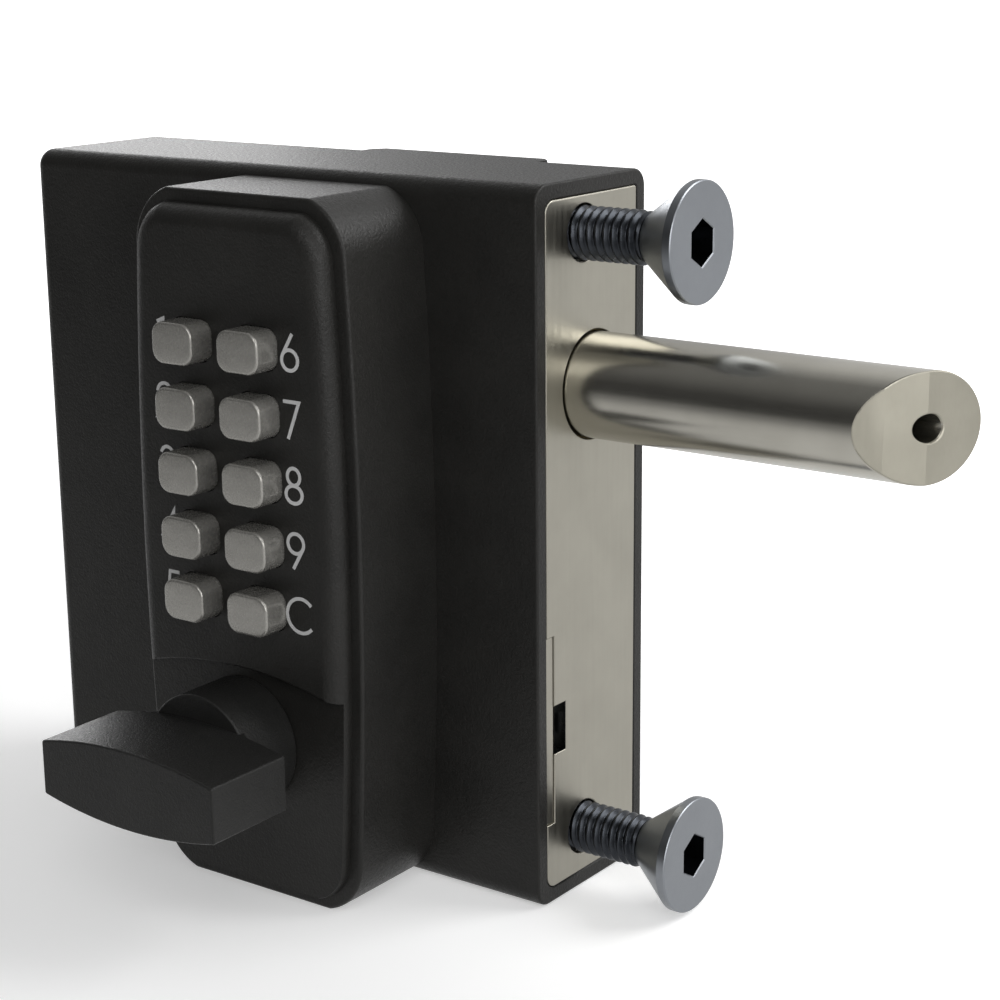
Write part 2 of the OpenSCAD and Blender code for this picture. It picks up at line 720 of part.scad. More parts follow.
module spring_bracket() {
    color("#8f9396") difference() {
        union() {
            translate([bracket_x - bracket_t, -inner_y + bracket_gap, bolt_z - bracket_h / 2])
                cube([bracket_t, 2 * inner_y - bracket_gap, bracket_h]);
            translate([bracket_x - bracket_t, inner_y - bracket_foot_t, bolt_z - bracket_h / 2])
                cube([bracket_t + bracket_foot_l, bracket_foot_t, bracket_h]);
        }
        bar_x(bracket_x - bracket_t - 1, bracket_x + 1, rod_d, bolt_back, bolt_z);
    }
}

module bolt_spring() {
    color("#9a9da0") translate([bracket_x, bolt_back, bolt_z]) rotate([0, 90, 0])
        coil(bolt_spring_d, bolt_spring_wire, bolt_spring_l, bolt_spring_turns);
}

module keypad_housing() {
    color("#2b2d2f") difference() {
        slab_y(ledge_y, front_y) housing_outline(0);
        slab_y(ledge_y + housing_wall, front_y + 1) housing_outline(housing_wall);
        slab_y(ledge_y - 1, front_y) housing_outline(opening_in);
    }
}

// The proud part of the keypad plate: rings of the outline, stacked from the ledge up over the rolled edge
module pad_body() {
    roll_steps = 5;
    levels = concat([[0, 0]], [for (i = [0:roll_steps]) let (a = 90 * i / roll_steps)
        [pad_proud - roll_r * (1 - sin(a)), roll_r * (1 - cos(a))]]);
    rings = [for (v = levels) [for (p = housing_points(ledge_w + v[1])) [p[0], ledge_y - v[0], p[1]]]];
    n = len(rings[0]);
    walls = [for (j = [0:len(levels) - 2]) for (i = [0:n - 1])
        [j * n + i, (j + 1) * n + i, (j + 1) * n + (i + 1) % n, j * n + (i + 1) % n]];
    back = [for (i = [0:n - 1]) i];
    front = [for (i = [n - 1:-1:0]) (len(levels) - 1) * n + i];
    polyhedron([for (r = rings) for (p = r) p], concat(walls, [back, front]), convexity = 4);
}

module keypad_plate() {
    root = 0.5;
    color("#232527") difference() {
        union() {
            pad_body();
            slab_y(ledge_y - root, pad_back_y) polygon(housing_points(opening_in + pad_gap));
            for (x = [-1, 1]) for (z = [post_bottom, post_top])
                bar_y(pad_back_y, front_y, post_d, keypad_x + x * post_x, z);
        }
        bar_y(pad_y - 2, floor_y, 2 * recess_arc_r, keypad_x, -recess_drop - recess_arc_r, $fn = 240);
        for (p = KEY_PLACES)
            slab_y(pad_y - 1, pad_back_y + 1) translate(p)
                rounded(key_w + 2 * key_clear, key_h + 2 * key_clear, key_r + key_clear);
        bar_y(pad_y - 1, pad_back_y + 1, front_bush_d, keypad_x, knob_z);
        for (x = [-1, 1]) for (z = [post_bottom, post_top])
            bar_y(-inner_y - post_screw_l, front_y + 1, post_screw_d, keypad_x + x * post_x, z);
    }
}

// Pan-head screws from the case's inner face forward
module wall_screw(d, l, x, z) {
    difference() {
        union() {
            bar_y(-inner_y - l, -inner_y, d, x, z);
            bar_y(-inner_y, -inner_y + 0.6 * d, 1.8 * d, x, z);
        }
        bar_y(-inner_y + 0.25 * d, -inner_y + d, 0.9 * d, x, z, $fn = 6);
    }
}

module housing_screws() {
    color("#6a6f76") for (x = [-1, 1]) for (z = [post_bottom, post_top])
        wall_screw(post_screw_d, post_screw_l, keypad_x + x * post_x, z);
}

module key_chassis() {
    color("#8f9396") difference() {
        union() {
            translate([keypad_x - chassis_w / 2, chassis_y, chassis_bottom])
                cube([chassis_w, chassis_t, chassis_top - chassis_bottom]);
            for (x = [-1, 1]) for (z = [chassis_post_bottom, chassis_post_top])
                bar_y(chassis_y, front_y, chassis_post_d, keypad_x + x * chassis_post_x, z);
        }
        for (p = KEY_PLACES)
            bar_y(chassis_y - 1, chassis_y + chassis_t + 1, stem_d + 2 * stem_clear, p[0], p[1]);
        for (x = [-1, 1]) for (z = [chassis_post_bottom, chassis_post_top])
            bar_y(-inner_y - chassis_screw_l, front_y + 1, chassis_screw_d, keypad_x + x * chassis_post_x, z);
    }
}

module chassis_back() {
    color("#8f9396") difference() {
        translate([keypad_x - chassis_w / 2, chamber_back_y, chassis_bottom])
            cube([chassis_w, chamber_back_t, chassis_top - chassis_bottom]);
        for (p = KEY_PLACES)
            bar_y(chamber_back_y - 1, stem_end_y, stem_d + 2 * stem_clear, p[0], p[1]);
        for (x = [-1, 1]) for (z = [chassis_post_bottom, chassis_post_top])
            bar_y(chamber_back_y - 1, chamber_back_y + chamber_back_t + 1, chassis_post_d,
                keypad_x + x * chassis_post_x, z);
    }
}

module chassis_screws() {
    color("#6a6f76") for (x = [-1, 1]) for (z = [chassis_post_bottom, chassis_post_top])
        wall_screw(chassis_screw_d, chassis_screw_l, keypad_x + x * chassis_post_x, z);
}

module code_slide() {
    slot_w = stem_d + 2 * stem_clear;
    color("#a58a4a") difference() {
        union() {
            translate([keypad_x - slide_w / 2, slide_y, chassis_bottom + 1])
                cube([slide_w, slide_t, chassis_top - chassis_bottom - slide_lift - 2]);
            translate([keypad_x - slide_tail_w / 2, slide_y, slide_bottom])
                cube([slide_tail_w, slide_t, chassis_bottom + 2 - slide_bottom]);
        }
        for (p = KEY_PLACES)
            translate([p[0] - slot_w / 2, slide_y - 1, p[1] - slot_w / 2 - slide_lift])
                cube([slot_w, slide_t + 2, slot_w + slide_lift]);
    }
}

module key(n) {
    p = KEY_PLACES[n];
    color("#c3c0b8") {
        slab_y(pad_y - key_proud, shoulder_y) translate(p) rounded(key_w, key_h, key_r);
        slab_y(shoulder_y, spring_y) translate(p)
            rounded(key_w + 2 * (key_clear + shoulder_w), key_h + 2 * (key_clear + shoulder_w), key_r);
        bar_y(spring_y, stem_end_y, stem_d, p[0], p[1]);
    }
}

module key_springs() {
    color("#9a9da0") for (p = KEY_PLACES) translate([p[0], chassis_y, p[1]]) rotate([90, 0, 0])
        coil(key_spring_d, key_spring_wire, key_spring_l, key_spring_turns, 5, 10);
}

module knob() {
    arc_rise = (bar_mid_t - bar_end_t) / 2;
    arc_r = (bar_l * bar_l / 4 + arc_rise * arc_rise) / (2 * arc_rise);
    blend_x = sqrt(pow(collar_d / 2, 2) - pow(bar_mid_t / 2, 2)) + bar_blend_r;
    color("#1f2123") difference() {
        union() {
            bar_y(collar_front_y, collar_back_y, collar_d, keypad_x, knob_z, $fn = 96);
            intersection() {
                slab_y(bar_front_y, collar_front_y + bar_blend_r) translate([keypad_x, knob_z])
                    intersection() {
                        square([bar_l, bar_mid_t + 1], center = true);
                        translate([0, bar_mid_t / 2 - arc_r]) circle(r = arc_r, $fn = 360);
                        translate([0, arc_r - bar_mid_t / 2]) circle(r = arc_r, $fn = 360);
                    }
                translate([keypad_x, 0, knob_z - bar_mid_t]) linear_extrude(2 * bar_mid_t) {
                    translate([-bar_l / 2, bar_front_y]) square([bar_l, bar_d]);
                    difference() {
                        translate([-blend_x, collar_front_y - 1]) square([2 * blend_x, bar_blend_r + 1]);
                        for (x = [-1, 1]) translate([x * blend_x, collar_front_y + bar_blend_r])
                            circle(r = bar_blend_r);
                    }
                }
            }
        }
        bar_y(spindle_front_y, collar_back_y + 1, spindle_d, keypad_x, knob_z);
        grub_hole();
    }
}

// The hole of the grub screw, from under the collar up to the spindle
module grub_hole() {
    translate([keypad_x, collar_back_y - collar_l / 2, knob_z - collar_d / 2 - 1])
        cylinder(h = collar_d / 2 - spindle_d / 2 + 1, d = grub_d);
}

module knob_grub_screw() {
    grub_l = collar_d / 2 - spindle_d / 2 - grub_sunk;
    color("#6a6f76") translate([keypad_x, collar_back_y - collar_l / 2, knob_z - spindle_d / 2 - grub_l])
        difference() {
            cylinder(h = grub_l, d = grub_d);
            translate([0, 0, -1]) cylinder(h = 3, d = grub_d / 2, $fn = 6);
        }
}

module spindle() {
    color("#9a9da0") difference() {
        bar_y(spindle_front_y, spindle_back_y, spindle_d, keypad_x, knob_z);
        difference() {
            bar_y(hub_end_y, hub_end_y + clip_t, spindle_d + 2, keypad_x, knob_z);
            bar_y(hub_end_y - 1, hub_end_y + clip_t + 1, spindle_d - 1, keypad_x, knob_z);
        }
        bar_x(keypad_x - hub_d, keypad_x + hub_d, cam_pin_d, hub_end_y - cam_pin_in, knob_z);
        grub_hole();
    }
}

module front_bush() {
    color("#a58a4a") difference() {
        union() {
            bar_y(floor_y, pad_back_y + front_flange_t, front_bush_d, keypad_x, knob_z);
            bar_y(pad_back_y, pad_back_y + front_flange_t, front_flange_d, keypad_x, knob_z);
        }
        bar_y(floor_y - 1, pad_back_y + front_flange_t + 1, spindle_d + 2 * spindle_fit, keypad_x, knob_z);
    }
}

module rear_bush() {
    color("#a58a4a") difference() {
        bar_y(rear_bush_y, back_y, rear_bush_d, keypad_x, knob_z);
        bar_y(rear_bush_y - 1, back_y + 1, spindle_d + 2 * spindle_fit, keypad_x, knob_z);
    }
}

module cam() {
    color("#8f9396") difference() {
        union() {
            bar_y(cam_y, hub_end_y, hub_d, keypad_x, knob_z);
            translate([keypad_x - cam_w / 2, cam_y, knob_z]) cube([cam_w, cam_t, cam_r]);
        }
        bar_y(cam_y - 1, hub_end_y + 1, spindle_d, keypad_x, knob_z);
        bar_x(keypad_x - hub_d, keypad_x + hub_d, cam_pin_d, hub_end_y - cam_pin_in, knob_z);
    }
}

module cam_pin() {
    half_l = hub_d / 2 - 0.5;
    color("#6a6f76") bar_x(keypad_x - half_l, keypad_x + half_l, cam_pin_d, hub_end_y - cam_pin_in, knob_z);
}

module spindle_clip() {
    color("#6a6f76") difference() {
        bar_y(hub_end_y, hub_end_y + clip_t, clip_d, keypad_x, knob_z);
        bar_y(hub_end_y - 1, hub_end_y + clip_t + 1, spindle_d - 1, keypad_x, knob_z);
        translate([keypad_x - clip_opening / 2, hub_end_y - 1, knob_z - clip_d])
            cube([clip_opening, clip_t + 2, clip_d]);
    }
}

module knob_spring() {
    spring_l = inner_y + cam_y - 2 * knob_spring_play;
    color("#9a9da0") translate([keypad_x, cam_y - knob_spring_play, knob_z]) rotate([90, 0, 0])
        coil(knob_spring_d, knob_spring_wire, spring_l, knob_spring_turns);
}

module slide_driver() {
    mid_y = slide_y + slide_t / 2;
    color("#8f9396") difference() {
        bar_y(mid_y - driver_t / 2, mid_y + driver_t / 2, driver_d,
            keypad_x + driver_offset * sin(driver_angle), knob_z + driver_offset * cos(driver_angle));
        bar_y(mid_y - driver_t, mid_y + driver_t, spindle_d, keypad_x, knob_z);
    }
}

case();
rear_cover();
rear_cover_screws();
end_plate();
access_strip();
fixing_bushes();
fixing_screws();
bolt_bush();
latch_bolt();
bolt_carriage();
carriage_screws();
guide_rod();
spring_bracket();
bolt_spring();
keypad_housing();
keypad_plate();
housing_screws();
key_chassis();
chassis_back();
chassis_screws();
code_slide();
key(0);  // key_1
key(1);  // key_2
key(2);  // key_3
key(3);  // key_4
key(4);  // key_5
key(5);  // key_6
key(6);  // key_7
key(7);  // key_8
key(8);  // key_9
key(9);  // key_c
key_springs();
knob();
knob_grub_screw();
spindle();
front_bush();
rear_bush();
cam();
cam_pin();
spindle_clip();
knob_spring();
slide_driver();
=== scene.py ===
import math
import bpy
import bmesh
from mathutils import Matrix, Vector


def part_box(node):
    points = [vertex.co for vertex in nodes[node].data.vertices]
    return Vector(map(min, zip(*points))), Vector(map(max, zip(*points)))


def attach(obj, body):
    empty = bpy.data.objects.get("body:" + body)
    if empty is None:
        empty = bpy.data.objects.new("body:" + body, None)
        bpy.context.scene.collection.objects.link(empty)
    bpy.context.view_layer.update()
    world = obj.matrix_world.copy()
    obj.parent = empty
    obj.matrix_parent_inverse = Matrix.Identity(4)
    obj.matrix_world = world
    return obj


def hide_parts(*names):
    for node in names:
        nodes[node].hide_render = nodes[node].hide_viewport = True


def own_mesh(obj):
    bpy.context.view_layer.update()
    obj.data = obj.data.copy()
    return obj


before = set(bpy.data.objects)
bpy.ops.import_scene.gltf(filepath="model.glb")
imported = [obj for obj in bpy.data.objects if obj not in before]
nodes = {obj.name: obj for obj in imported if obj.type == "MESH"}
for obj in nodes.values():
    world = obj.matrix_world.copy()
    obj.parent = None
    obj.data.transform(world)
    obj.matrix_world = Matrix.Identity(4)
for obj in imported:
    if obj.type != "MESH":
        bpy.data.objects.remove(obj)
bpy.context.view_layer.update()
mm = 0.001
scene = bpy.context.scene


def boxOf(node):
    low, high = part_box(node)
    return [v / mm for v in low], [v / mm for v in high]


def linked(name, data):
    obj = bpy.data.objects.new(name, data)
    scene.collection.objects.link(obj)
    return obj


# Camera, as the photograph was taken
view = {
    "place": (224.0, -339.0, 113.5),
    "yaw": 35.90,
    "pitch": 14.66,
    "roll": -0.55,
    "focalPx": 2225,
    "framePx": 1000,
    "sensor": 36,
}
yaw, pitch, roll = (math.radians(view[k]) for k in ("yaw", "pitch", "roll"))
backAxis = Vector((math.sin(yaw) * math.cos(pitch), -math.cos(yaw) * math.cos(pitch), math.sin(pitch)))
sideAxis = Vector((math.cos(yaw), math.sin(yaw), 0))
upAxis = backAxis.cross(sideAxis)
rightAxis = math.cos(roll) * sideAxis + math.sin(roll) * upAxis
topAxis = math.cos(roll) * upAxis - math.sin(roll) * sideAxis
lens = bpy.data.cameras.new("camera")
lens.sensor_width = view["sensor"]
lens.lens = view["sensor"] * view["focalPx"] / view["framePx"]
lens.clip_start = 0.01
camera = linked("camera", lens)
turn = Matrix((rightAxis, topAxis, backAxis)).transposed().to_4x4()
camera.matrix_world = Matrix.Translation(Vector(view["place"]) * mm) @ turn
scene.camera = camera
print("camera placed")


# Nodes, of materials and of geometry

def node(tree, kind, **inputs):  # inputs by label, or by number as i0, i1
    made = tree.nodes.new(kind)
    for label, value in inputs.items():
        numbered = label[0] == "i" and label[1:].isdigit()
        socket = made.inputs[int(label[1:]) if numbered else label]
        if isinstance(value, bpy.types.NodeSocket):
            tree.links.new(value, socket)
        else:
            socket.default_value = value
    return made


def mathNode(tree, operation, *values):
    made = node(tree, "ShaderNodeMath", **{f"i{k}": value for k, value in enumerate(values)})
    made.operation = operation
    return made.outputs[0]


def mapped(tree, value, source, target):  # a value's range turned into another one
    (low, high), (start, end) = source, target
    return node(tree, "ShaderNodeMapRange", i0=value, i1=low, i2=high, i3=start, i4=end)


# Materials

def startMaterial(name, color, metallic, roughness):
    mat = bpy.data.materials.new(name)
    mat.use_nodes = True
    shader = mat.node_tree.nodes["Principled BSDF"]
    shader.inputs["Base Color"].default_value = (*color, 1)
    shader.inputs["Metallic"].default_value = metallic
    shader.inputs["Roughness"].default_value = roughness
    return mat, shader


def place(mat, stretch=(1, 1, 1)):  # object coordinates, stretched along an axis for brushed grain
    coords = node(mat.node_tree, "ShaderNodeTexCoord").outputs["Object"]
    return node(mat.node_tree, "ShaderNodeMapping", Vector=coords, Scale=stretch).outputs["Vector"]


def noise(mat, vector, scale, detail=2.0, rough=0.5):
    made = node(mat.node_tree, "ShaderNodeTexNoise", Vector=vector, Scale=scale, Detail=detail, Roughness=rough)
    return made.outputs["Fac"]


def ranged(mat, value, low, high):  # noise seldom leaves the range from 0.3 to 0.7
    return mapped(mat.node_tree, value, (0.3, 0.7), (low, high)).outputs["Result"]


def toned(mat, value, dark, light):
    made = mat.node_tree.nodes.new("ShaderNodeMix")
    made.data_type = "RGBA"
    made.inputs["A"].default_value = (*dark, 1)
    made.inputs["B"].default_value = (*light, 1)
    mat.node_tree.links.new(value, made.inputs["Factor"])
    return made.outputs["Result"]


def raised(mat, height, strength, distance, **under):
    made = node(mat.node_tree, "ShaderNodeBump", Height=height, Strength=strength, Distance=distance, **under)
    return made.outputs["Normal"]


def blackCoat(name, color, roughness, grain, strength):  # fine textured powder coat
    mat, shader = startMaterial(name, color, 0, roughness)
    shader.inputs["Specular IOR Level"].default_value = 0.24  # duller than bare plastic
    vector = place(mat)
    speck = noise(mat, vector, grain, 3, 0.6)
    cloud = noise(mat, vector, 55, 4, 0.6)
    links = mat.node_tree.links
    lighter = tuple(min(1, 1.5 * c) for c in color)
    links.new(toned(mat, ranged(mat, cloud, 0, 1), color, lighter), shader.inputs["Base Color"])
    links.new(ranged(mat, speck, roughness - 0.13, roughness + 0.12), shader.inputs["Roughness"])
    coarse = raised(mat, noise(mat, vector, grain / 2.2, 2), strength * 0.5, 0.00012)
    links.new(raised(mat, speck, strength, 0.0001, Normal=coarse), shader.inputs["Normal"])
    return mat


def metal(name, dark, light, roughness, grainScale, stretch, spread=0.06, strength=0.15, metallic=1):
    mat, shader = startMaterial(name, light, metallic, roughness)
    vector = place(mat, stretch)
    grain = noise(mat, vector, grainScale, 4, 0.65)
    cloud = noise(mat, place(mat), 70, 3, 0.6)
    links = mat.node_tree.links
    links.new(toned(mat, ranged(mat, cloud, 0, 1), dark, light), shader.inputs["Base Color"])
    links.new(ranged(mat, grain, roughness - spread, roughness + spread), shader.inputs["Roughness"])
    links.new(raised(mat, grain, strength, 0.00002), shader.inputs["Normal"])
    return mat


caseBlack = blackCoat("caseBlack", (0.0125, 0.0121, 0.0111), 0.42, 2000, 1.0)
knobBlack = blackCoat("knobBlack", (0.0125, 0.0124, 0.0118), 0.4, 2500, 0.8)
plateSatin = metal("plateSatin", (0.365, 0.349, 0.3), (0.4, 0.383, 0.33), 0.36, 900, (1, 1, 0.05))
boltPolish = metal("boltPolish", (0.46, 0.445, 0.395), (0.52, 0.504, 0.45), 0.22, 2200, (0.06, 1, 1),
    0.03, 0.06)
boltCut = metal("boltCut", (0.33, 0.314, 0.262), (0.39, 0.371, 0.312), 0.38, 1500, (1, 1, 0.3), 0.08, 0.3)
keySatin = metal("keySatin", (0.31, 0.302, 0.28), (0.35, 0.341, 0.316), 0.27, 1500, (1, 1, 1),
    0.03, 0.01, 0.65)
screwBlue = metal("screwBlue", (0.25, 0.264, 0.284), (0.275, 0.289, 0.31), 0.34, 900, (1, 1, 1), 0.04, 0.05)
# painted shade: a darker steel laid on the screw threads, the hex sockets and the walls of the end plate's
# window
paintedShadeSteel = metal("paintedShadeSteel", (0.032, 0.035, 0.04), (0.054, 0.058, 0.066), 0.3, 900, (1, 1, 1),
    0.04, 0.03)
innerZinc = metal("innerZinc", (0.46, 0.47, 0.48), (0.56, 0.57, 0.58), 0.36, 700, (1, 1, 1), 0.08, 0.12)
springWire = metal("springWire", (0.35, 0.36, 0.37), (0.45, 0.46, 0.47), 0.3, 1200, (1, 1, 1), 0.05, 0.1)
bushBrass = metal("bushBrass", (0.55, 0.42, 0.18), (0.66, 0.52, 0.25), 0.3, 900, (1, 0.1, 1), 0.06, 0.12)
digitPaint = startMaterial("digitPaint", (0.5, 0.5, 0.5), 0, 0.5)[0]
print("materials made")


# Mesh helpers; every size and place is in millimetres

def piece(name, points, faces):
    mesh = bpy.data.meshes.new(name)
    mesh.from_pydata([Vector(p) * mm for p in points], [], faces)
    obj = linked(name, mesh)
    cleaned(obj)
    return obj


def cleaned(obj, planar=False):
    bm = bmesh.new()
    bm.from_mesh(obj.data)
    bmesh.ops.remove_doubles(bm, verts=bm.verts, dist=2e-6)
    bmesh.ops.dissolve_degenerate(bm, edges=bm.edges, dist=1e-6)
    if planar:
        bmesh.ops.dissolve_limit(bm, angle_limit=math.radians(0.2), verts=bm.verts, edges=bm.edges)
    bmesh.ops.recalc_face_normals(bm, faces=bm.faces)
    bm.to_mesh(obj.data)
    bm.free()


def loft(name, rings, wrap=False):  # rings of equal count joined by a skin, closed by caps or into a ring
    count = len(rings[0])
    points = [p for ring in rings for p in ring]
    faces = []
    last = len(rings) if wrap else len(rings) - 1
    for j in range(last):
        a, b = j * count, ((j + 1) % len(rings)) * count
        for i in range(count):
            k = (i + 1) % count
            faces.append((a + i, a + k, b + k, b + i))
    if not wrap:
        faces.append(tuple(range(count)))
        faces.append(tuple(range((len(rings) - 1) * count, len(rings) * count)))
    return piece(name, points, faces)


def atX(outline, x, y=0, z=0):
    return [(x, y + u, z + v) for u, v in outline]


def atY(outline, y, x=0, z=0):
    return [(x + u, y, z + v) for u, v in outline]


def roundedOutline(width, height, radii, steps=8):
    if not isinstance(radii, (tuple, list)):
        radii = (radii,) * 4
    points = []
    for (su, sv, start), r in zip(((1, -1, -90), (1, 1, 0), (-1, 1, 90), (-1, -1, 180)), radii):
        for k in range(steps + 1):
            a = math.radians(start + 90 * k / steps)
            points.append((su * (width / 2 - r) + r * math.cos(a), sv * (height / 2 - r) + r * math.sin(a)))
    return points


def circle(radius, count=64, start=0):
    angles = [start + 2 * math.pi * k / count for k in range(count)]
    return [(radius * math.cos(a), radius * math.sin(a)) for a in angles]


def barX(x0, x1, diameter, y, z):
    outline = circle(diameter / 2)
    return loft("bar", [atX(outline, x0, y, z), atX(outline, x1, y, z)])


def barY(y0, y1, diameter, x, z, count=64):
    outline = circle(diameter / 2, count)
    return loft("bar", [atY(outline, y0, x, z), atY(outline, y1, x, z)])


def block(low, high):
    x0, y0, z0 = low
    x1, y1, z1 = high
    outline = [(x0, z0), (x1, z0), (x1, z1), (x0, z1)]
    return loft("block", [atY(outline, y0), atY(outline, y1)])


def turned(name, profile, count=96):  # profile of (x, radius) turned about the X axis
    return loft(name, [atX(circle(r, count), x) for x, r in profile])


def shifted(obj, x=0, y=0, z=0):
    obj.data.transform(Matrix.Translation(Vector((x, y, z)) * mm))
    return obj


def evaluatedMesh(obj):
    graph = bpy.context.evaluated_depsgraph_get()
    graph.update()
    return bpy.data.meshes.new_from_object(obj.evaluated_get(graph))


def flattened(obj):  # modifiers made part of the mesh
    mesh = evaluatedMesh(obj)
    obj.modifiers.clear()
    obj.data = mesh
    return obj


def joined(name, parts):
    bm = bmesh.new()
    for part in parts:
        bm.from_mesh(part.data)
        bpy.data.objects.remove(part)
    mesh = bpy.data.meshes.new(name)
    bm.to_mesh(mesh)
    bm.free()
    return linked(name, mesh)


def combined(obj, other, operation="DIFFERENCE"):
    modifier = obj.modifiers.new("boolean", "BOOLEAN")
    modifier.operation = operation
    modifier.object = other
    modifier.solver = "EXACT"
    flattened(obj)
    bpy.data.objects.remove(other)
    cleaned(obj, planar=True)
    return obj


def softened(obj, width, segments=2, test=None, least=25):
    bm = bmesh.new()
    bm.from_mesh(obj.data)
    edges = []
    for edge in bm.edges:
        if len(edge.link_faces) != 2 or edge.calc_face_angle(0) < math.radians(least):
            continue
        a, b = (v.co / mm for v in edge.verts)
        if test is None or test(a, b):
            edges.append(edge)
    bmesh.ops.bevel(bm, geom=edges, offset=width * mm, segments=segments, profile=0.5, affect="EDGES")
    bm.to_mesh(obj.data)
    bm.free()
    cleaned(obj)
    return obj


def plateOf(name, outline, holes, thickness, edge):  # a flat plate round z = 0 with softened edges
    curve = bpy.data.curves.new(name, "CURVE")
    curve.dimensions = "2D"
    curve.fill_mode = "BOTH"
    curve.extrude = (thickness / 2 - edge) * mm
    curve.bevel_depth = edge * mm
    curve.bevel_resolution = 2
    curve.offset = -edge * mm
    for points in [outline] + holes:
        spline = curve.splines.new("POLY")
        spline.points.add(len(points) - 1)
        for point, (u, v) in zip(spline.points, points):
            point.co = (u * mm, v * mm, 0, 1)
        spline.use_cyclic_u = True
    obj = linked(name, curve)
    mesh = evaluatedMesh(obj)
    bpy.data.objects.remove(obj)
    solid = linked(name, mesh)
    cleaned(solid)
    return solid


def facing(obj, middle):  # a plate drawn flat, stood up across X with its middle there
    turn = Matrix(((0, 0, 1), (1, 0, 0), (0, 1, 0)))
    obj.data.transform(Matrix.Translation((middle * mm, 0, 0)) @ turn.to_4x4())


def finished(obj, material, body, slot, *replaced, angle=30, name=None):
    if name:
        obj.name = name
    obj.data.materials.clear()
    obj.data.materials.append(material)
    obj.data.shade_smooth()
    obj.data.set_sharp_from_angle(angle=math.radians(angle))
    # large faces set the normals, so that flat surfaces shade flat beside their rounded edges
    weights = obj.modifiers.new("weights", "WEIGHTED_NORMAL")
    weights.keep_sharp = True
    weights.weight = 100
    flattened(obj)
    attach(obj, body)
    if replaced:
        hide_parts(*replaced)
    return obj


# Geometry node trees

def newTree(name, sizes):
    tree = bpy.data.node_groups.new(name, "GeometryNodeTree")
    tree.interface.new_socket("Geometry", in_out="INPUT", socket_type="NodeSocketGeometry")
    for label, kind in sizes:
        tree.interface.new_socket(label, in_out="INPUT", socket_type=kind)
    tree.interface.new_socket("Geometry", in_out="OUTPUT", socket_type="NodeSocketGeometry")
    return tree, tree.nodes.new("NodeGroupInput"), tree.nodes.new("NodeGroupOutput")


def closeTree(tree, geometry, group, output):
    real = node(tree, "GeometryNodeRealizeInstances", i0=geometry)
    coat = node(tree, "GeometryNodeSetMaterial", i0=real.outputs[0])
    tree.links.new(group.outputs["Material"], coat.inputs["Material"])
    tree.links.new(coat.outputs[0], output.inputs[0])


def grown(name, tree, values):  # runs a tree on an empty mesh and keeps the plain result
    obj = linked(name, bpy.data.meshes.new(name))
    modifier = obj.modifiers.new("nodes", "NODES")
    modifier.node_group = tree
    keys = {item.name: item.identifier for item in tree.interface.items_tree if item.in_out == "INPUT"}
    for label, value in values.items():
        modifier[keys[label]] = value
    flattened(obj)
    cleaned(obj)
    return obj


def makeThreadTree():
    tree, group, output = newTree("threadedRod", [
        ("Length", "NodeSocketFloat"), ("Radius", "NodeSocketFloat"), ("Depth", "NodeSocketFloat"),
        ("Pitch", "NodeSocketFloat"), ("Steps", "NodeSocketInt"), ("Material", "NodeSocketMaterial")])
    length, radius, depth = (group.outputs[k] for k in ("Length", "Radius", "Depth"))
    sheet = node(tree, "GeometryNodeMeshGrid")
    tree.links.new(length, sheet.inputs["Size X"])
    sheet.inputs["Size Y"].default_value = 2 * math.pi
    tree.links.new(group.outputs["Steps"], sheet.inputs["Vertices X"])
    sheet.inputs["Vertices Y"].default_value = 49
    place = node(tree, "ShaderNodeSeparateXYZ", i0=tree.nodes.new("GeometryNodeInputPosition").outputs[0])
    along, angle = place.outputs[0], place.outputs[1]
    phase = mathNode(tree, "SUBTRACT", mathNode(tree, "DIVIDE", along, group.outputs["Pitch"]),
        mathNode(tree, "DIVIDE", angle, 2 * math.pi))
    tooth = mathNode(tree, "ABSOLUTE", mathNode(tree, "SUBTRACT", mathNode(tree, "FRACT", phase), 0.5))
    flank = mapped(tree, tooth, (0.07, 0.43), (0.0, 1.0))
    toEnd = mathNode(tree, "SUBTRACT", mathNode(tree, "DIVIDE", length, 2), mathNode(tree, "ABSOLUTE", along))
    turnsLeft = mathNode(tree, "DIVIDE", toEnd, group.outputs["Pitch"])
    runOut = mapped(tree, turnsLeft, (0.05, 0.7), (1.0, 0.0))
    drop = mathNode(tree, "MULTIPLY", mathNode(tree, "MAXIMUM", flank.outputs[0], runOut.outputs[0]), depth)
    inside = mathNode(tree, "GREATER_THAN", toEnd, 0.00001)
    reach = mathNode(tree, "MULTIPLY", mathNode(tree, "SUBTRACT", radius, drop), inside)
    spot = node(tree, "ShaderNodeCombineXYZ", i0=along,
        i1=mathNode(tree, "MULTIPLY", reach, mathNode(tree, "COSINE", angle)),
        i2=mathNode(tree, "MULTIPLY", reach, mathNode(tree, "SINE", angle)))
    moved = node(tree, "GeometryNodeSetPosition", Geometry=sheet.outputs[0], Position=spot.outputs[0])
    seam = node(tree, "GeometryNodeMergeByDistance", i0=moved.outputs[0], Distance=0.000001)
    closeTree(tree, seam.outputs[0], group, output)
    return tree


def makeCoilTree():
    tree, group, output = newTree("coil", [
        ("Turns", "NodeSocketFloat"), ("Radius", "NodeSocketFloat"), ("Wire", "NodeSocketFloat"),
        ("Height", "NodeSocketFloat"), ("Material", "NodeSocketMaterial")])
    spiral = node(tree, "GeometryNodeCurveSpiral", Resolution=28)
    for source, label in (("Turns", "Rotations"), ("Radius", "Start Radius"), ("Radius", "End Radius"),
            ("Height", "Height")):
        tree.links.new(group.outputs[source], spiral.inputs[label])
    wire = node(tree, "GeometryNodeCurvePrimitiveCircle", Resolution=12, Radius=group.outputs["Wire"])
    tube = node(tree, "GeometryNodeCurveToMesh", Curve=spiral.outputs[0])
    tree.links.new(wire.outputs[0], tube.inputs["Profile Curve"])
    tube.inputs["Fill Caps"].default_value = True
    closeTree(tree, tube.outputs[0], group, output)
    return tree


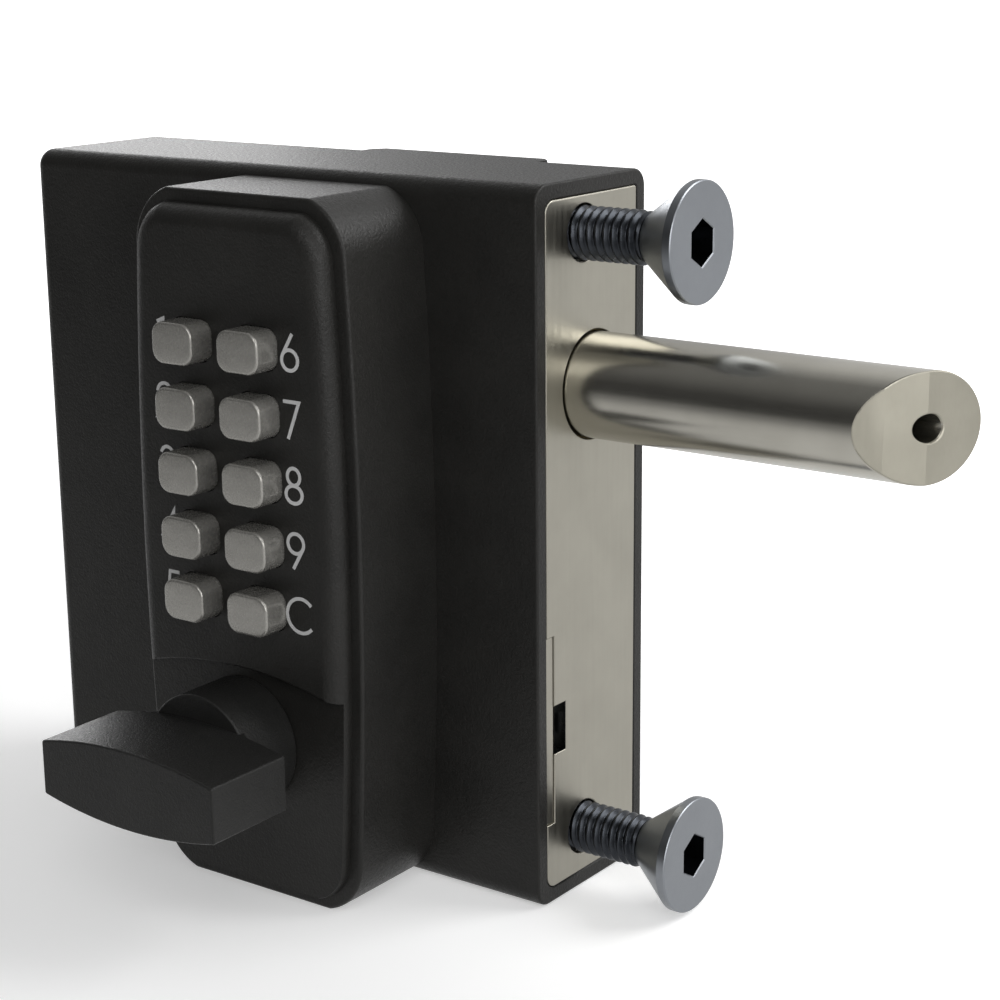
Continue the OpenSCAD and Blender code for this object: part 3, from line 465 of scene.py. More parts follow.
def makePatternTree():
    tree, group, output = newTree("pattern", [
        ("Piece", "NodeSocketObject"), ("Columns", "NodeSocketInt"), ("Rows", "NodeSocketInt"),
        ("Start", "NodeSocketVector"), ("Column step", "NodeSocketVector"), ("Row step", "NodeSocketVector"),
        ("Material", "NodeSocketMaterial")])
    lines = []
    for count, step in (("Columns", "Column step"), ("Rows", "Row step")):
        lines.append(node(tree, "GeometryNodeMeshLine", Count=group.outputs[count], Offset=group.outputs[step]))
    tree.links.new(group.outputs["Start"], lines[0].inputs["Start Location"])
    gridPoints = node(tree, "GeometryNodeInstanceOnPoints", Points=lines[0].outputs[0],
        Instance=lines[1].outputs[0])
    spots = node(tree, "GeometryNodeRealizeInstances", i0=gridPoints.outputs[0])
    source = node(tree, "GeometryNodeObjectInfo", Object=group.outputs["Piece"])
    copies = node(tree, "GeometryNodeInstanceOnPoints", Points=spots.outputs[0],
        Instance=source.outputs["Geometry"])
    closeTree(tree, copies.outputs[0], group, output)
    return tree


threadTree = makeThreadTree()
coilTree = makeCoilTree()
patternTree = makePatternTree()


def repeated(name, source, columns, rows, start, columnStep, rowStep, material):
    made = grown(name, patternTree, {"Piece": source, "Columns": columns, "Rows": rows,
        "Start": Vector(start) * mm, "Column step": Vector(columnStep) * mm, "Row step": Vector(rowStep) * mm,
        "Material": material})
    bpy.data.objects.remove(source)
    return made


# Case

caseLow, caseHigh = boxOf("case")
keypadLow, keypadHigh = boxOf("keypad_housing")
case = {
    "wall": 3.0,
    "edge": 3.5,
    "end": 3.0,
    "rim": 0.5,
    "mouthCorner": 2.5,
    "rearCorner": 0.6,
    "mouthEdge": 0.25,
    "seat": (1.5, 4.0),
    "plate": 3.0,
    "spindleHole": 12,
    "rearOpening": (-57.6, -30.8),
    "rearOpeningEnd": 12,
}
caseDepth = caseHigh[1] - caseLow[1]
caseHeight = caseHigh[2] - caseLow[2]
caseMiddle = (caseHigh[2] + caseLow[2]) / 2
keypadX = (keypadLow[0] + keypadHigh[0]) / 2
keypadZ = (keypadLow[2] + keypadHigh[2]) / 2
knobZ = (boxOf("spindle")[0][2] + boxOf("spindle")[1][2]) / 2


def caseOutline(inset):
    return roundedOutline(caseDepth - 2 * inset, caseHeight - 2 * inset, max(case["edge"] - inset, 0.5))


def mouthOutline(inset):
    front = max(case["mouthCorner"] - inset, 0.4)
    rear = max(case["rearCorner"] - inset, 0.4)
    width, height = (size - 2 * (case["wall"] + inset) for size in (caseDepth, caseHeight))
    return roundedOutline(width, height, (rear, rear, front, front))


def makeCase():
    left = caseLow[0]
    rings = []
    for k in range(9):
        t = math.radians(90 - 90 * k / 8)
        outline = caseOutline(case["end"] * (1 - math.cos(t)))
        rings.append(atX(outline, left + case["end"] * (1 - math.sin(t))))
    for k in range(5):
        t = math.radians(90 * k / 4)
        rings.append(atX(caseOutline(case["rim"] * (1 - math.cos(t))), case["rim"] * (math.sin(t) - 1)))
    seatWidth, seatLength = case["seat"]
    edge, seatX = case["mouthEdge"], -case["plate"]
    rings += [atX(mouthOutline(-edge), 0), atX(mouthOutline(0), -edge), atX(mouthOutline(0), seatX),
        atX(mouthOutline(seatWidth), seatX), atX(mouthOutline(seatWidth), seatX - seatLength),
        atX(mouthOutline(0), seatX - seatLength), atX(mouthOutline(0), left + case["wall"])]
    shell = shifted(loft("case", rings), z=caseMiddle)
    front, back = caseLow[1], caseHigh[1]
    inner = back - case["wall"]
    cutters = [barY(front - 1, front + case["wall"] + 1, case["spindleHole"], keypadX, knobZ)]
    for screws, head, hole, y in (("housing_screws", 7.2, 4.4, front), ("chassis_screws", 5.4, 3.4, front),
            ("rear_cover_screws", 6.0, 3.0, inner)):
        low, high = boxOf(screws)
        for x in (low[0] + head / 2, high[0] - head / 2):
            for z in (low[2] + head / 2, high[2] - head / 2):
                cutters.append(barY(y - 1, y + case["wall"] + 1, hole, x, z, 32))
    combined(shell, joined("holes", cutters))
    (openLeft, openRight), openEnd = case["rearOpening"], case["rearOpeningEnd"]
    openLow = (openLeft, inner - 1, caseLow[2] + openEnd)
    openHigh = (openRight, back + 1, caseHigh[2] - openEnd)
    combined(shell, block(openLow, openHigh))
    finished(shell, caseBlack, "lock_case", "case_black", "case", name="caseShell")


makeCase()


# Rear cover with its four countersunk screws

def makeRearCover():
    cover = {"slope": 2.4, "edge": 0.5, "screwIn": (5.4, 6.0), "head": 3.0, "shank": 1.5, "socket": 1.0,
        "socketDepth": 1.4, "screwLength": 5.6}
    low, high = boxOf("rear_cover")
    # the outline reaches into the wall, so that no groove shows along the case's rounded edge
    root = low[1] - case["edge"]
    outline = [(low[0], root), (low[0], low[1]), (low[0] + cover["slope"], high[1]),
        (high[0] - cover["slope"], high[1]), (high[0], low[1]), (high[0], root)]
    body = loft("rearCover", [[(x, y, z) for x, y in outline] for z in (low[2], high[2])])
    softened(body, cover["edge"], 3, lambda a, b: min(a.y, b.y) > low[1] + 0.1)
    spacing = (high[0] - low[0] - 2 * cover["screwIn"][0], high[2] - low[2] - 2 * cover["screwIn"][1])
    start = (low[0] + cover["screwIn"][0], high[1], low[2] + cover["screwIn"][1])
    sinks = []
    for i in range(2):
        for j in range(2):
            x, z = start[0] + i * spacing[0], start[2] + j * spacing[1]
            head, shank = cover["head"], cover["shank"]
            profile = ((high[1] + 0.5, head + 0.5), (high[1] - head + shank, shank), (low[1] - 1, shank))
            sinks.append(loft("sink", [atY(circle(r, 48), y, x, z) for y, r in profile]))
    combined(body, joined("sinks", sinks))
    finished(body, caseBlack, "lock_case", "case_black", "rear_cover")
    head, shank = cover["head"], cover["shank"]
    profile = ((-0.05, head - 0.25), (-0.2, head - 0.1), (shank - head - 0.1, shank),
        (-cover["screwLength"], shank))
    screw = loft("screw", [atY(circle(r, 48), y) for y, r in profile])
    corner, depth = cover["socket"] * 1.15, cover["socketDepth"]
    profile = ((0.5, corner), (-depth, corner), (-depth - 0.4, 0.1))
    combined(screw, loft("socket", [atY(circle(r, 6), y) for y, r in profile]))
    columnStep, rowStep = (spacing[0], 0, 0), (0, 0, spacing[1])
    screws = repeated("rearCoverScrews", screw, 2, 2, start, columnStep, rowStep, screwBlue)
    finished(screws, screwBlue, "lock_case", "inner_steel", "rear_cover_screws")


makeRearCover()
print("case made")


# End plate, with the strip in its notch

def makeEndPlate():
    low, high = boxOf("end_plate")
    plate = {"edge": 0.3, "corner": 2.4, "notchDepth": 2.4, "notchHeight": 37.4, "notchMiddle": -35.2,
        "window": (3.8, 9.6), "boltHole": 20.7, "fixingHole": 10.7, "stripGap": 0.05, "stripIn": 0.3,
        "flangeFront": -13.55, "flangeReach": 14, "tabIn": 2.3}
    middle = (low[2] + high[2]) / 2
    width, height = high[1] - low[1], high[2] - low[2]
    corners, steps = (0.5, 0.5, plate["corner"], plate["corner"]), 6
    outline = [(u, v + middle) for u, v in roundedOutline(width, height, corners, steps)]
    half, window = plate["notchHeight"] / 2, plate["window"]
    u0 = low[1]
    u1, u2 = u0 + plate["notchDepth"], u0 + plate["notchDepth"] + window[0]
    top, mid, bottom = plate["notchMiddle"] + half, plate["notchMiddle"], plate["notchMiddle"] - half
    notch = [(u0, top), (u1, top), (u1, mid + window[1] / 2), (u2, mid + window[1] / 2),
        (u2, mid - window[1] / 2), (u1, mid - window[1] / 2), (u1, bottom), (u0, bottom)]
    # the outline runs down the front edge between its third and fourth corners
    third = 3 * (steps + 1)
    outline = outline[:third] + notch + outline[third:]
    bolt = boxOf("latch_bolt")
    boltY, boltZ = (bolt[0][1] + bolt[1][1]) / 2, (bolt[0][2] + bolt[1][2]) / 2
    fixings = boxOf("fixing_screws")
    fixingY = (fixings[0][1] + fixings[1][1]) / 2
    head = (fixings[1][1] - fixings[0][1]) / 2
    holes = [[(boltY + u, boltZ + v) for u, v in circle(plate["boltHole"] / 2, 96)]]
    for z in (fixings[0][2] + head, fixings[1][2] - head):
        holes.append([(fixingY + u, z + v) for u, v in circle(plate["fixingHole"] / 2, 64)])
    body = plateOf("endPlate", outline, holes, high[0] - low[0], plate["edge"])
    facing(body, (low[0] + high[0]) / 2)
    finished(body, plateSatin, "lock_case", "plate_steel", "end_plate")
    body.data.materials.append(paintedShadeSteel)  # the walls of the window, in painted shade
    for part in body.data.polygons:
        spot = part.center / mm
        inWindow = u1 - 0.1 < spot.y < u2 + 0.1 and abs(spot.z - mid) < window[1] / 2 + 0.1
        if inWindow and abs(part.normal.x) < 0.5:
            part.material_index = 1
    gap, reach = plate["stripGap"], plate["flangeReach"]
    strip = block((low[0], low[1], bottom + gap), (-plate["stripIn"], u1 - gap, top - gap))
    softened(strip, 0.25, 2)
    flangeLow, flangeHigh = boxOf("access_strip")
    flange = block((flangeLow[0], plate["flangeFront"], mid - reach), (low[0], flangeHigh[1], mid + reach))
    softened(flange, 0.2, 2)
    tab = block((low[0], u1 + 1.1, mid - 2.4), (-plate["tabIn"], u2 - 0.8, mid + 1.6))
    softened(tab, 0.2, 2)
    whole = joined("accessStrip", [strip, flange, tab])
    finished(whole, plateSatin, "lock_case", "plate_steel", "access_strip")


makeEndPlate()


# Fixing screws, backed out as the photograph shows them

def makeFixingScrews():
    screw = {"thread": 10.0, "depth": 0.8, "pitch": 1.75, "threadEnd": 14.7, "neck": 8.6, "cone": 14.6,
        "land": 1.7, "edge": 0.22, "hex": 7.5, "hexDepth": 5.0, "bevel": 0.2}
    low, high = boxOf("fixing_screws")
    radius = (high[1] - low[1]) / 2
    face = high[0]
    cone = face - screw["land"]
    length = screw["threadEnd"] - low[0]
    rod = grown("thread", threadTree, {"Length": length * mm, "Radius": screw["thread"] / 2 * mm,
        "Depth": screw["depth"] * mm, "Pitch": screw["pitch"] * mm, "Steps": 420, "Material": screwBlue})
    shifted(rod, x=(screw["threadEnd"] + low[0]) / 2)
    neck, edge = screw["neck"] / 2, screw["edge"]
    profile = [(screw["threadEnd"] - 1.5, neck), (screw["cone"] - 0.8, neck),
        (screw["cone"] - 0.3, neck + 0.08), (screw["cone"] + 0.2, neck + 0.4), (cone - 0.15, radius - 0.12),
        (cone + 0.05, radius), (face - edge, radius), (face - 0.3 * edge, radius - 0.7 * edge),
        (face, radius - 1.3 * edge)]
    head = turned("head", profile)
    flat = screw["hex"] / math.cos(math.radians(30)) / 2
    # one corner points up, as in the photograph
    hexagons = [circle(r, 6, math.pi / 6) for r in (flat + screw["bevel"] + 0.5, flat, 0.2)]
    rings = [atX(hexagons[0], face + 0.5), atX(hexagons[1], face - screw["bevel"]),
        atX(hexagons[1], face - screw["hexDepth"]), atX(hexagons[2], face - screw["hexDepth"] - 1.6)]
    socket = loft("socket", rings)
    combined(head, socket)
    one = joined("screw", [rod, head])
    first = (0, (low[1] + high[1]) / 2, low[2] + radius)
    step = (0, 0, high[2] - low[2] - 2 * radius)
    pair = repeated("fixingScrews", one, 1, 2, first, (0, 0, 0), step, screwBlue)
    finished(pair, screwBlue, "lock_case", "screw_steel", "fixing_screws", angle=40)
    # painted shade: the threads and the hex sockets take the darker steel
    pair.data.materials.append(paintedShadeSteel)
    for part in pair.data.polygons:
        spot = part.center / mm
        away = math.hypot(spot.y - first[1], abs(spot.z - (low[2] + high[2]) / 2) - step[2] / 2)
        inSocket = away < flat + 0.1 and spot.x < face - 0.5
        if spot.x < screw["threadEnd"] - 0.1 or inSocket:
            part.material_index = 1


makeFixingScrews()


# Latch bolt with its bevelled end

def makeBolt():
    bolt = {"bevels": ((26, None), (40, 6.1), (52, 3.4)), "hole": 5.0, "holeDepth": 20.0, "holeEdge": 0.35,
        "edge": 0.25, "tailBore": 6.8, "tailDepth": 34.0}
    low, high = boxOf("latch_bolt")
    radius = (high[1] - low[1]) / 2
    y, z = (low[1] + high[1]) / 2, (low[2] + high[2]) / 2
    body = turned("latchBolt", [(low[0], radius - 0.4), (low[0] + 0.4, radius), (high[0], radius)], 160)
    shifted(body, y=y, z=z)
    widths = [2 * radius - sum(w for _, w in bolt["bevels"] if w)] + [w for _, w in bolt["bevels"] if w]
    x, depth = high[0], high[1]
    waste = [(x + math.tan(math.radians(bolt["bevels"][0][0])), depth + 1), (x, depth)]
    for (angle, _), width in zip(bolt["bevels"], widths):
        x -= math.tan(math.radians(angle)) * width
        depth -= width
        waste.append((x, depth))
    waste += [(x - math.tan(math.radians(bolt["bevels"][-1][0])), depth - 1), (high[0] + 5, depth - 1),
        (high[0] + 5, high[1] + 1)]
    combined(body, loft("waste", [[(u, v, w) for u, v in waste] for w in (z - radius - 1, z + radius + 1)]))

    hole, end = bolt["hole"] / 2, high[0] - bolt["holeDepth"]
    combined(body, loft("bore", [atX(circle(r, 64), x, y, z) for x, r in
        ((high[0] + 1, hole), (end, hole), (end - 1.2, 0.05))]))
    combined(body, barX(low[0] - 1, low[0] + bolt["tailDepth"], bolt["tailBore"], y, z))

    def onHole(a, b):
        return min(a.x, b.x) > 55 and all(abs(math.hypot(p.y - y, p.z - z) - hole) < 0.02 for p in (a, b))
    softened(body, bolt["holeEdge"], 2, onHole, least=40)
    softened(body, bolt["edge"], 2, lambda a, b: min(a.x, b.x) > 55
        and all(math.hypot(p.y - y, p.z - z) > radius - 0.1 for p in (a, b)), least=12)
    finished(body, boltPolish, "bolt_set", "bolt_steel", "latch_bolt", angle=12)
    body.data.materials.append(boltCut)
    for face in body.data.polygons:
        spot = face.center / mm
        away = math.hypot(spot.y - y, spot.z - z)
        if spot.x > 50 and face.normal.x > 0.3 and away < radius - 0.05:
            face.material_index = 1


makeBolt()
print("bolt made")


# Keypad housing and keypad plate

bow = {"amount": 2.5, "corner": 11.6, "crease": 17}
housingWidth = keypadHigh[0] - keypadLow[0]
housingHeight = keypadHigh[2] - keypadLow[2]
ledgeY = keypadLow[1]
frontY = caseLow[1]


def bowedOutline(inset, sideSteps=36, cornerSteps=14):
    hw, hh, r = housingWidth / 2 - inset, housingHeight / 2 - inset, bow["corner"] - inset
    sideR = (hh * hh + bow["amount"] ** 2) / (2 * bow["amount"])
    middle = hw - sideR
    crease = math.radians(bow["crease"])
    cz = hh - r * math.cos(crease)
    cx = middle + math.sqrt((sideR - r) ** 2 - cz * cz)
    t = math.atan2(cz, cx - middle)
    sweep = [t * (2 * k / sideSteps - 1) for k in range(sideSteps + 1)]
    side = [(middle + sideR * math.cos(a), sideR * math.sin(a)) for a in sweep]
    turns = [t + (math.pi / 2 - crease - t) * k / cornerSteps for k in range(1, cornerSteps + 1)]
    top = [(cx + r * math.cos(a), cz + r * math.sin(a)) for a in turns]
    half = [(u, -v) for u, v in reversed(top)] + side + top
    return half + [(-u, -v) for u, v in half]


def bowedAt(y, inset):
    return atY(bowedOutline(inset), y, keypadX, keypadZ)


def makeHousing():
    housing = {"wall": 3.0, "opening": 7.0, "edge": 0.7, "inner": 0.3}
    edge = housing["edge"]
    rings = [bowedAt(frontY, 0)]
    for k in range(7):
        t = math.radians(90 * k / 6)
        rings.append(bowedAt(ledgeY + edge * (1 - math.sin(t)), edge * (1 - math.cos(t))))
    inside = ledgeY + housing["wall"]
    rings += [bowedAt(ledgeY, housing["opening"] - housing["inner"]),
        bowedAt(ledgeY + housing["inner"], housing["opening"]), bowedAt(inside, housing["opening"]),
        bowedAt(inside, housing["wall"]), bowedAt(frontY, housing["wall"])]
    finished(loft("keypadHousing", rings, wrap=True), caseBlack, "lock_case", "case_black", "keypad_housing")


keys = {"pitchX": 15.9, "pitchZ": 12.25, "topZ": 39.4, "drop": 0.4, "right": 0.15, "width": 9.8, "height": 7.8,
    "corner": 2.6, "gap": 0.3, "holeGap": 0.14, "faceEdge": 0.55, "shoulder": 0.7, "stem": 3.6, "crown": 0.12}
keyPlaces = [(keypadX + (i - 0.5) * keys["pitchX"], keys["topZ"] - j * keys["pitchZ"])
    for i in range(2) for j in range(5)]
headPlaces = [(x + keys["right"], z - keys["drop"]) for x, z in keyPlaces]
keyNames = [f"key_{n}" for n in range(1, 10)] + ["key_c"]
pad = {"proud": 4.5, "ledge": 2.5, "roll": 4.0, "neck": 7.15, "back": 3.0, "recess": 2.5,
    "recessCorner": (40, -90), "arcTop": -23.0, "arcRadius": 88.0, "arcAngle": 22, "arcEdge": 0.5,
    "keyEdge": 0.12, "bush": 13.0, "post": 7.5, "postX": 14.5, "postZ": 54.0}
padY = ledgeY - pad["proud"]
floorY = padY + pad["recess"]


def makePad():
    backY = ledgeY + pad["back"]
    rootY, roll = ledgeY + 0.02, pad["roll"]
    rings = [bowedAt(backY, pad["neck"]), bowedAt(rootY, pad["neck"]), bowedAt(rootY, pad["ledge"])]
    straight = pad["proud"] - roll
    for k in range(13):
        t = math.radians(90 * k / 12)
        rings.append(bowedAt(ledgeY - straight - roll * math.sin(t), pad["ledge"] + roll * (1 - math.cos(t))))
    body = loft("keypadPlate", rings)
    arcZ = pad["arcTop"] - pad["arcRadius"]
    spread = [math.radians(90 + pad["arcAngle"] * (2 * k / 72 - 1)) for k in range(73)]
    arc = [(pad["arcRadius"] * math.cos(a), arcZ + pad["arcRadius"] * math.sin(a)) for a in spread]
    beside, below = pad["recessCorner"]
    outline = [(beside, below), *arc, (-beside, below)]
    combined(body, loft("recess", [atY(outline, padY - 2, keypadX), atY(outline, floorY, keypadX)]))

    def onArc(p):
        return abs(math.hypot(p.x - keypadX, p.z - arcZ) - pad["arcRadius"]) < 0.05 and p.y < padY + 0.2
    softened(body, pad["arcEdge"], 3, lambda a, b: onArc(a) and onArc(b))
    cutters = [barY(padY - 1, backY + 1, pad["bush"], keypadX, knobZ)]
    near = keys["holeGap"]
    hole = roundedOutline(keys["width"] + 2 * near, keys["height"] + 2 * near, keys["corner"] + near)
    for x, z in headPlaces:
        cutters.append(loft("keyHole", [atY(hole, padY - 1, x, z), atY(hole, backY + 1, x, z)]))
    combined(body, joined("holes", cutters))

    rangeX, rangeZ = keys["width"] / 2 + 0.4, keys["height"] / 2 + 0.4

    def besideKey(p):
        return p.y < padY + 0.01 and any(abs(p.x - x) < rangeX and abs(p.z - z) < rangeZ for x, z in headPlaces)
    softened(body, pad["keyEdge"], 2, lambda a, b: besideKey(a) and besideKey(b), least=60)
    posts = [barY(backY - 0.5, frontY, pad["post"], keypadX + i * pad["postX"], keypadZ + j * pad["postZ"])
        for i in (-1, 1) for j in (-1, 1)]
    finished(joined("keypadPlate", [body] + posts), caseBlack, "lock_case", "case_black", "keypad_plate")


makeHousing()
makePad()
print("keypad made")


# Keys

def makeKeys():
    for name, (x, z), (headX, headZ) in zip(keyNames, keyPlaces, headPlaces):
        low, high = boxOf(name)
        face, shoulderY, tail = low[1], ledgeY + pad["back"] + 0.1, high[1]
        edge, w, h, r = keys["faceEdge"], keys["width"], keys["height"], keys["corner"]
        grow = 2 * (keys["gap"] + keys["shoulder"])
        stem = roundedOutline(keys["stem"], keys["stem"], keys["stem"] / 2)
        rings = [atY(stem, tail, x, z), atY(stem, shoulderY + 1.5, x, z)]
        shoulder = roundedOutline(w + grow, h + grow, r + 0.6)
        rings += [atY(shoulder, shoulderY + 1.5, headX, headZ), atY(shoulder, shoulderY, headX, headZ)]
        rings.append(atY(roundedOutline(w, h, r), shoulderY, headX, headZ))
        for k in range(5):
            t = math.radians(90 * k / 4)
            inset = edge * (1 - math.cos(t))
            outline = roundedOutline(w - 2 * inset, h - 2 * inset, r - inset)
            rings.append(atY(outline, face + keys["crown"] + edge * (1 - math.sin(t)), headX, headZ))
        for share, rise in ((0.75, 0.4), (0.5, 0.75), (0.25, 0.95)):
            outline = roundedOutline((w - 2 * edge) * share, (h - 2 * edge) * share, (r - edge) * share)
            rings.append(atY(outline, face + keys["crown"] * (1 - rise), headX, headZ))
        body = loft(name.replace("_", ""), rings)
        finished(body, keySatin, "push_" + name, "key_steel", name, angle=35)


makeKeys()


# Numbers and the letter, as thin raised strokes on the pad

digits = {"height": 7.2, "stroke": 0.68, "thick": 0.06, "right": -34.7, "left": -65.9, "drop": 0.4}


def arcPath(cx, cy, rx, ry, start, end, steps=28):
    angles = [math.radians(start + (end - start) * k / steps) for k in range(steps + 1)]
    return [(cx + rx * math.cos(a), cy + ry * math.sin(a)) for a in angles]


# Centre lines in shares of the height, from the bottom, with x = 0 in the middle
glyphs = {
    "1": [[(-0.16, 0.86), (0.06, 0.955), (0.06, 0.0)]],
    "2": [arcPath(0, 0.68, 0.26, 0.27, 170, -28) + [(-0.27, 0.045), (0.28, 0.045)]],
    "3": [arcPath(-0.01, 0.73, 0.22, 0.225, 165, -90) + arcPath(-0.01, 0.275, 0.26, 0.23, 90, -165)],
    "4": [[(0.13, 0.0), (0.13, 0.955), (-0.31, 0.24), (0.3, 0.24)]],
    "5": [[(0.22, 0.955), (-0.12, 0.955), (-0.18, 0.55)] + arcPath(-0.02, 0.305, 0.27, 0.26, 118, -155)],
    "6": [[(0.1, 0.98)] + arcPath(0, 0.305, 0.26, 0.26, 149, 513, 50)],
    "7": [[(-0.26, 0.955), (0.25, 0.955), (-0.13, 0.0)]],
    "8": [arcPath(0, 0.735, 0.205, 0.22, 0, 360, 44), arcPath(0, 0.275, 0.265, 0.23, 0, 360, 48)],
    "9": [[(-0.1, 0.02)] + arcPath(0, 0.695, 0.26, 0.26, -31, 333, 50)],
    "C": [arcPath(0.1, 0.5, 0.46, 0.455, 42, 318, 48)],
}


def strokeOutline(path, half):
    closed = math.dist(path[0], path[-1]) < 1e-6
    left, right = [], []
    count = len(path)
    for k, (x, y) in enumerate(path):
        before = path[k - 1] if k else (path[-2] if closed else None)
        after = path[k + 1] if k < count - 1 else (path[1] if closed else None)
        d1 = Vector((x - before[0], y - before[1])).normalized() if before else None
        d2 = Vector((after[0] - x, after[1] - y)).normalized() if after else None
        d1, d2 = d1 or d2, d2 or d1
        normal = Vector((-(d1.y + d2.y), d1.x + d2.x)).normalized()
        reach = half / max(normal.dot(Vector((-d1.y, d1.x))), 0.35)
        left.append((x + normal.x * reach, y + normal.y * reach))
        right.append((x - normal.x * reach, y - normal.y * reach))
    return left, right


def makeDigits():
    points, faces = [], []
    for name, (_, z) in zip(("1", "2", "3", "4", "5", "6", "7", "8", "9", "C"), keyPlaces):
        x = digits["left"] if name in "12345" else digits["right"]
        size = digits["height"]
        z -= digits["drop"]
        for order, path in enumerate(glyphs[name]):
            line = [(u * size, (v - 0.5) * size) for u, v in path]
            left, right = strokeOutline(line, digits["stroke"] / 2)
            closed = math.dist(line[0], line[-1]) < 1e-6
            if closed:
                left, right = left[:-1], right[:-1]
            start, count = len(points), len(left)
            for k, ((u1, v1), (u2, v2)) in enumerate(zip(left, right)):
                # where strokes cross, one lies a little higher
                top = padY - digits["thick"] * (1 + 0.25 * order + (0 if closed else 0.3 * k / count))
                for y, u, v in ((top, u1, v1), (top, u2, v2), (padY + 0.05, u2, v2), (padY + 0.05, u1, v1)):
                    points.append((x + u, y, z + v))
            for k in range(count if closed else count - 1):
                a, b = start + 4 * k, start + 4 * ((k + 1) % count)
                faces += [(a + i, a + (i + 1) % 4, b + (i + 1) % 4, b + i) for i in range(4)]
            if not closed:
                faces.append(tuple(start + i for i in range(4)))
                faces.append(tuple(start + 4 * (count - 1) + i for i in range(4)))
    strokes = piece("keypadDigits", points, faces)
    finished(strokes, digitPaint, "lock_case", "key_steel")


makeDigits()
print("keys made")


# Knob: a lens-shaped crossbar on a round collar, blended at the back

def makeKnob():
    knob = {"collar": 25.2, "barLength": 42.7, "midThick": 15.4, "endThick": 10.5, "barBack": -56.3,
        "blend": 3.2, "edge": 0.45, "collarEdge": 0.4, "spindle": 8.0, "spindleIn": 18.0, "grub": 5.0}
    low, high = boxOf("knob")
    back, front, barBack = high[1], low[1], knob["barBack"]
    rise = (knob["midThick"] - knob["endThick"]) / 2
    arcR = (knob["barLength"] ** 2 / 4 + rise ** 2) / (2 * rise)

    def halfThick(x):
        return knob["midThick"] / 2 - arcR + math.sqrt(arcR ** 2 - x * x)

    half = knob["barLength"] / 2
    spots = [half * (2 * k / 48 - 1) for k in range(49)]
    outline = [(x, -halfThick(x)) for x in spots] + [(x, halfThick(x)) for x in reversed(spots)]
    bar = loft("bar", [atY(outline, front, keypadX, knobZ), atY(outline, barBack, keypadX, knobZ)])
    reach = math.sqrt((knob["collar"] / 2) ** 2 - (knob["midThick"] / 2) ** 2) + knob["blend"]
    side = [(reach - knob["blend"] * math.sin(t), barBack + knob["blend"] * (1 - math.cos(t)))
        for t in (math.radians(90 * k / 10) for k in range(11))]
    wedge = [(reach, barBack - 2)] + side + [(-x, y) for x, y in reversed(side)] + [(-reach, barBack - 2)]
    blend = loft("blend", [[(keypadX + x, y, knobZ + z) for x, y in wedge] for z in (-12, 12)])
    inside = [(x, 0.994 * z) for x, z in outline]
    lens = loft("lens", [atY(inside, barBack - 1, keypadX, knobZ), atY(inside, barBack + 8, keypadX, knobZ)])
    combined(blend, lens, "INTERSECT")
    collar = barY(barBack, back, knob["collar"], keypadX, knobZ, 160)
    edge = knob["collarEdge"]
    softened(collar, edge, 3)
    combined(bar, blend, "UNION")
    combined(bar, collar, "UNION")
    # the edges of the bar's front and the four edges of its ends
    softened(bar, knob["edge"], 3, lambda a, b: max(a.y, b.y) < barBack - 1
        or abs(a.y - b.y) > 5 and min(abs(a.x - keypadX), abs(b.x - keypadX)) > half - 0.1)
    bore = barY(back - knob["spindleIn"], back + 1, knob["spindle"], keypadX, knobZ)
    combined(bar, bore)
    middle = (boxOf("knob_grub_screw")[0][1] + boxOf("knob_grub_screw")[1][1]) / 2
    hole = loft("grubHole", [[(keypadX + u, middle + v, z) for u, v in circle(knob["grub"] / 2, 48)]
        for z in (knobZ - 14, knobZ - 2)])
    combined(bar, hole)
    finished(bar, knobBlack, "knob_set", "knob_black", "knob", name="knobHandle")


makeKnob()
print("knob made")


# Springs

def coiled(name, turns, width, wire, length, axis, spot, *replaced):  # width and length with the wire
    coil = grown(name, coilTree, {"Turns": turns, "Radius": (width - wire) / 2 * mm, "Wire": wire / 2 * mm,
        "Height": (length - wire) * mm, "Material": springWire})
    coil.data.transform(Matrix.Rotation(math.radians(90), 4, axis))
    shifted(coil, *spot)
    return finished(coil, springWire, "lock_case", "spring_steel", *replaced)


def makeSprings():
    springs = {"boltWire": 1.6, "boltTurns": 9.0, "keyWire": 0.5, "keyTurns": 4.0, "keyCoil": 5.6,
        "knobWire": 1.5, "knobTurns": 4.0, "lever": 25, "knobAngle": 45}
    low, high = boxOf("bolt_spring")
    wire = springs["boltWire"]
    length = high[0] - low[0]
    spot = (low[0] + wire / 2, (low[1] + high[1]) / 2, (low[2] + high[2]) / 2)
    coil = coiled("boltSpring", springs["boltTurns"], high[1] - low[1], wire, length, "Y", spot, "bolt_spring")
    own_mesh(coil)
    low, high = boxOf("key_springs")
    wire = springs["keyWire"]
    length = high[1] - low[1]
    for name, (x, z) in zip(keyNames, keyPlaces):
        replaced = ["key_springs"] if name == "key_1" else []
        coil = coiled(name.replace("key_", "keySpring"), springs["keyTurns"], springs["keyCoil"] + wire, wire,
            length, "X", (x, high[1] - wire / 2, z), *replaced)
        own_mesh(coil)
    low, high = boxOf("knob_spring")
    wire = springs["knobWire"]
    coiled("knobSpring", springs["knobTurns"], high[0] - low[0], wire, high[1] - low[1], "X",
        (keypadX, high[1] - wire / 2, knobZ), "knob_spring")


makeSprings()


# The inner parts stay as they are and take their finish

innerParts = {
    innerZinc: ["fixing_bushes", "bolt_carriage", "carriage_screws", "guide_rod", "spring_bracket",
        "housing_screws", "key_chassis", "chassis_back", "chassis_screws", "knob_grub_screw", "spindle", "cam",
        "cam_pin", "spindle_clip", "slide_driver"],
    bushBrass: ["bolt_bush", "code_slide", "front_bush", "rear_bush"],
}
for material, names in innerParts.items():
    for name in names:
        slots = nodes[name].data.materials
        for k in range(len(slots)):
            slots[k] = material
print("inner parts finished")


# Floor, light and background

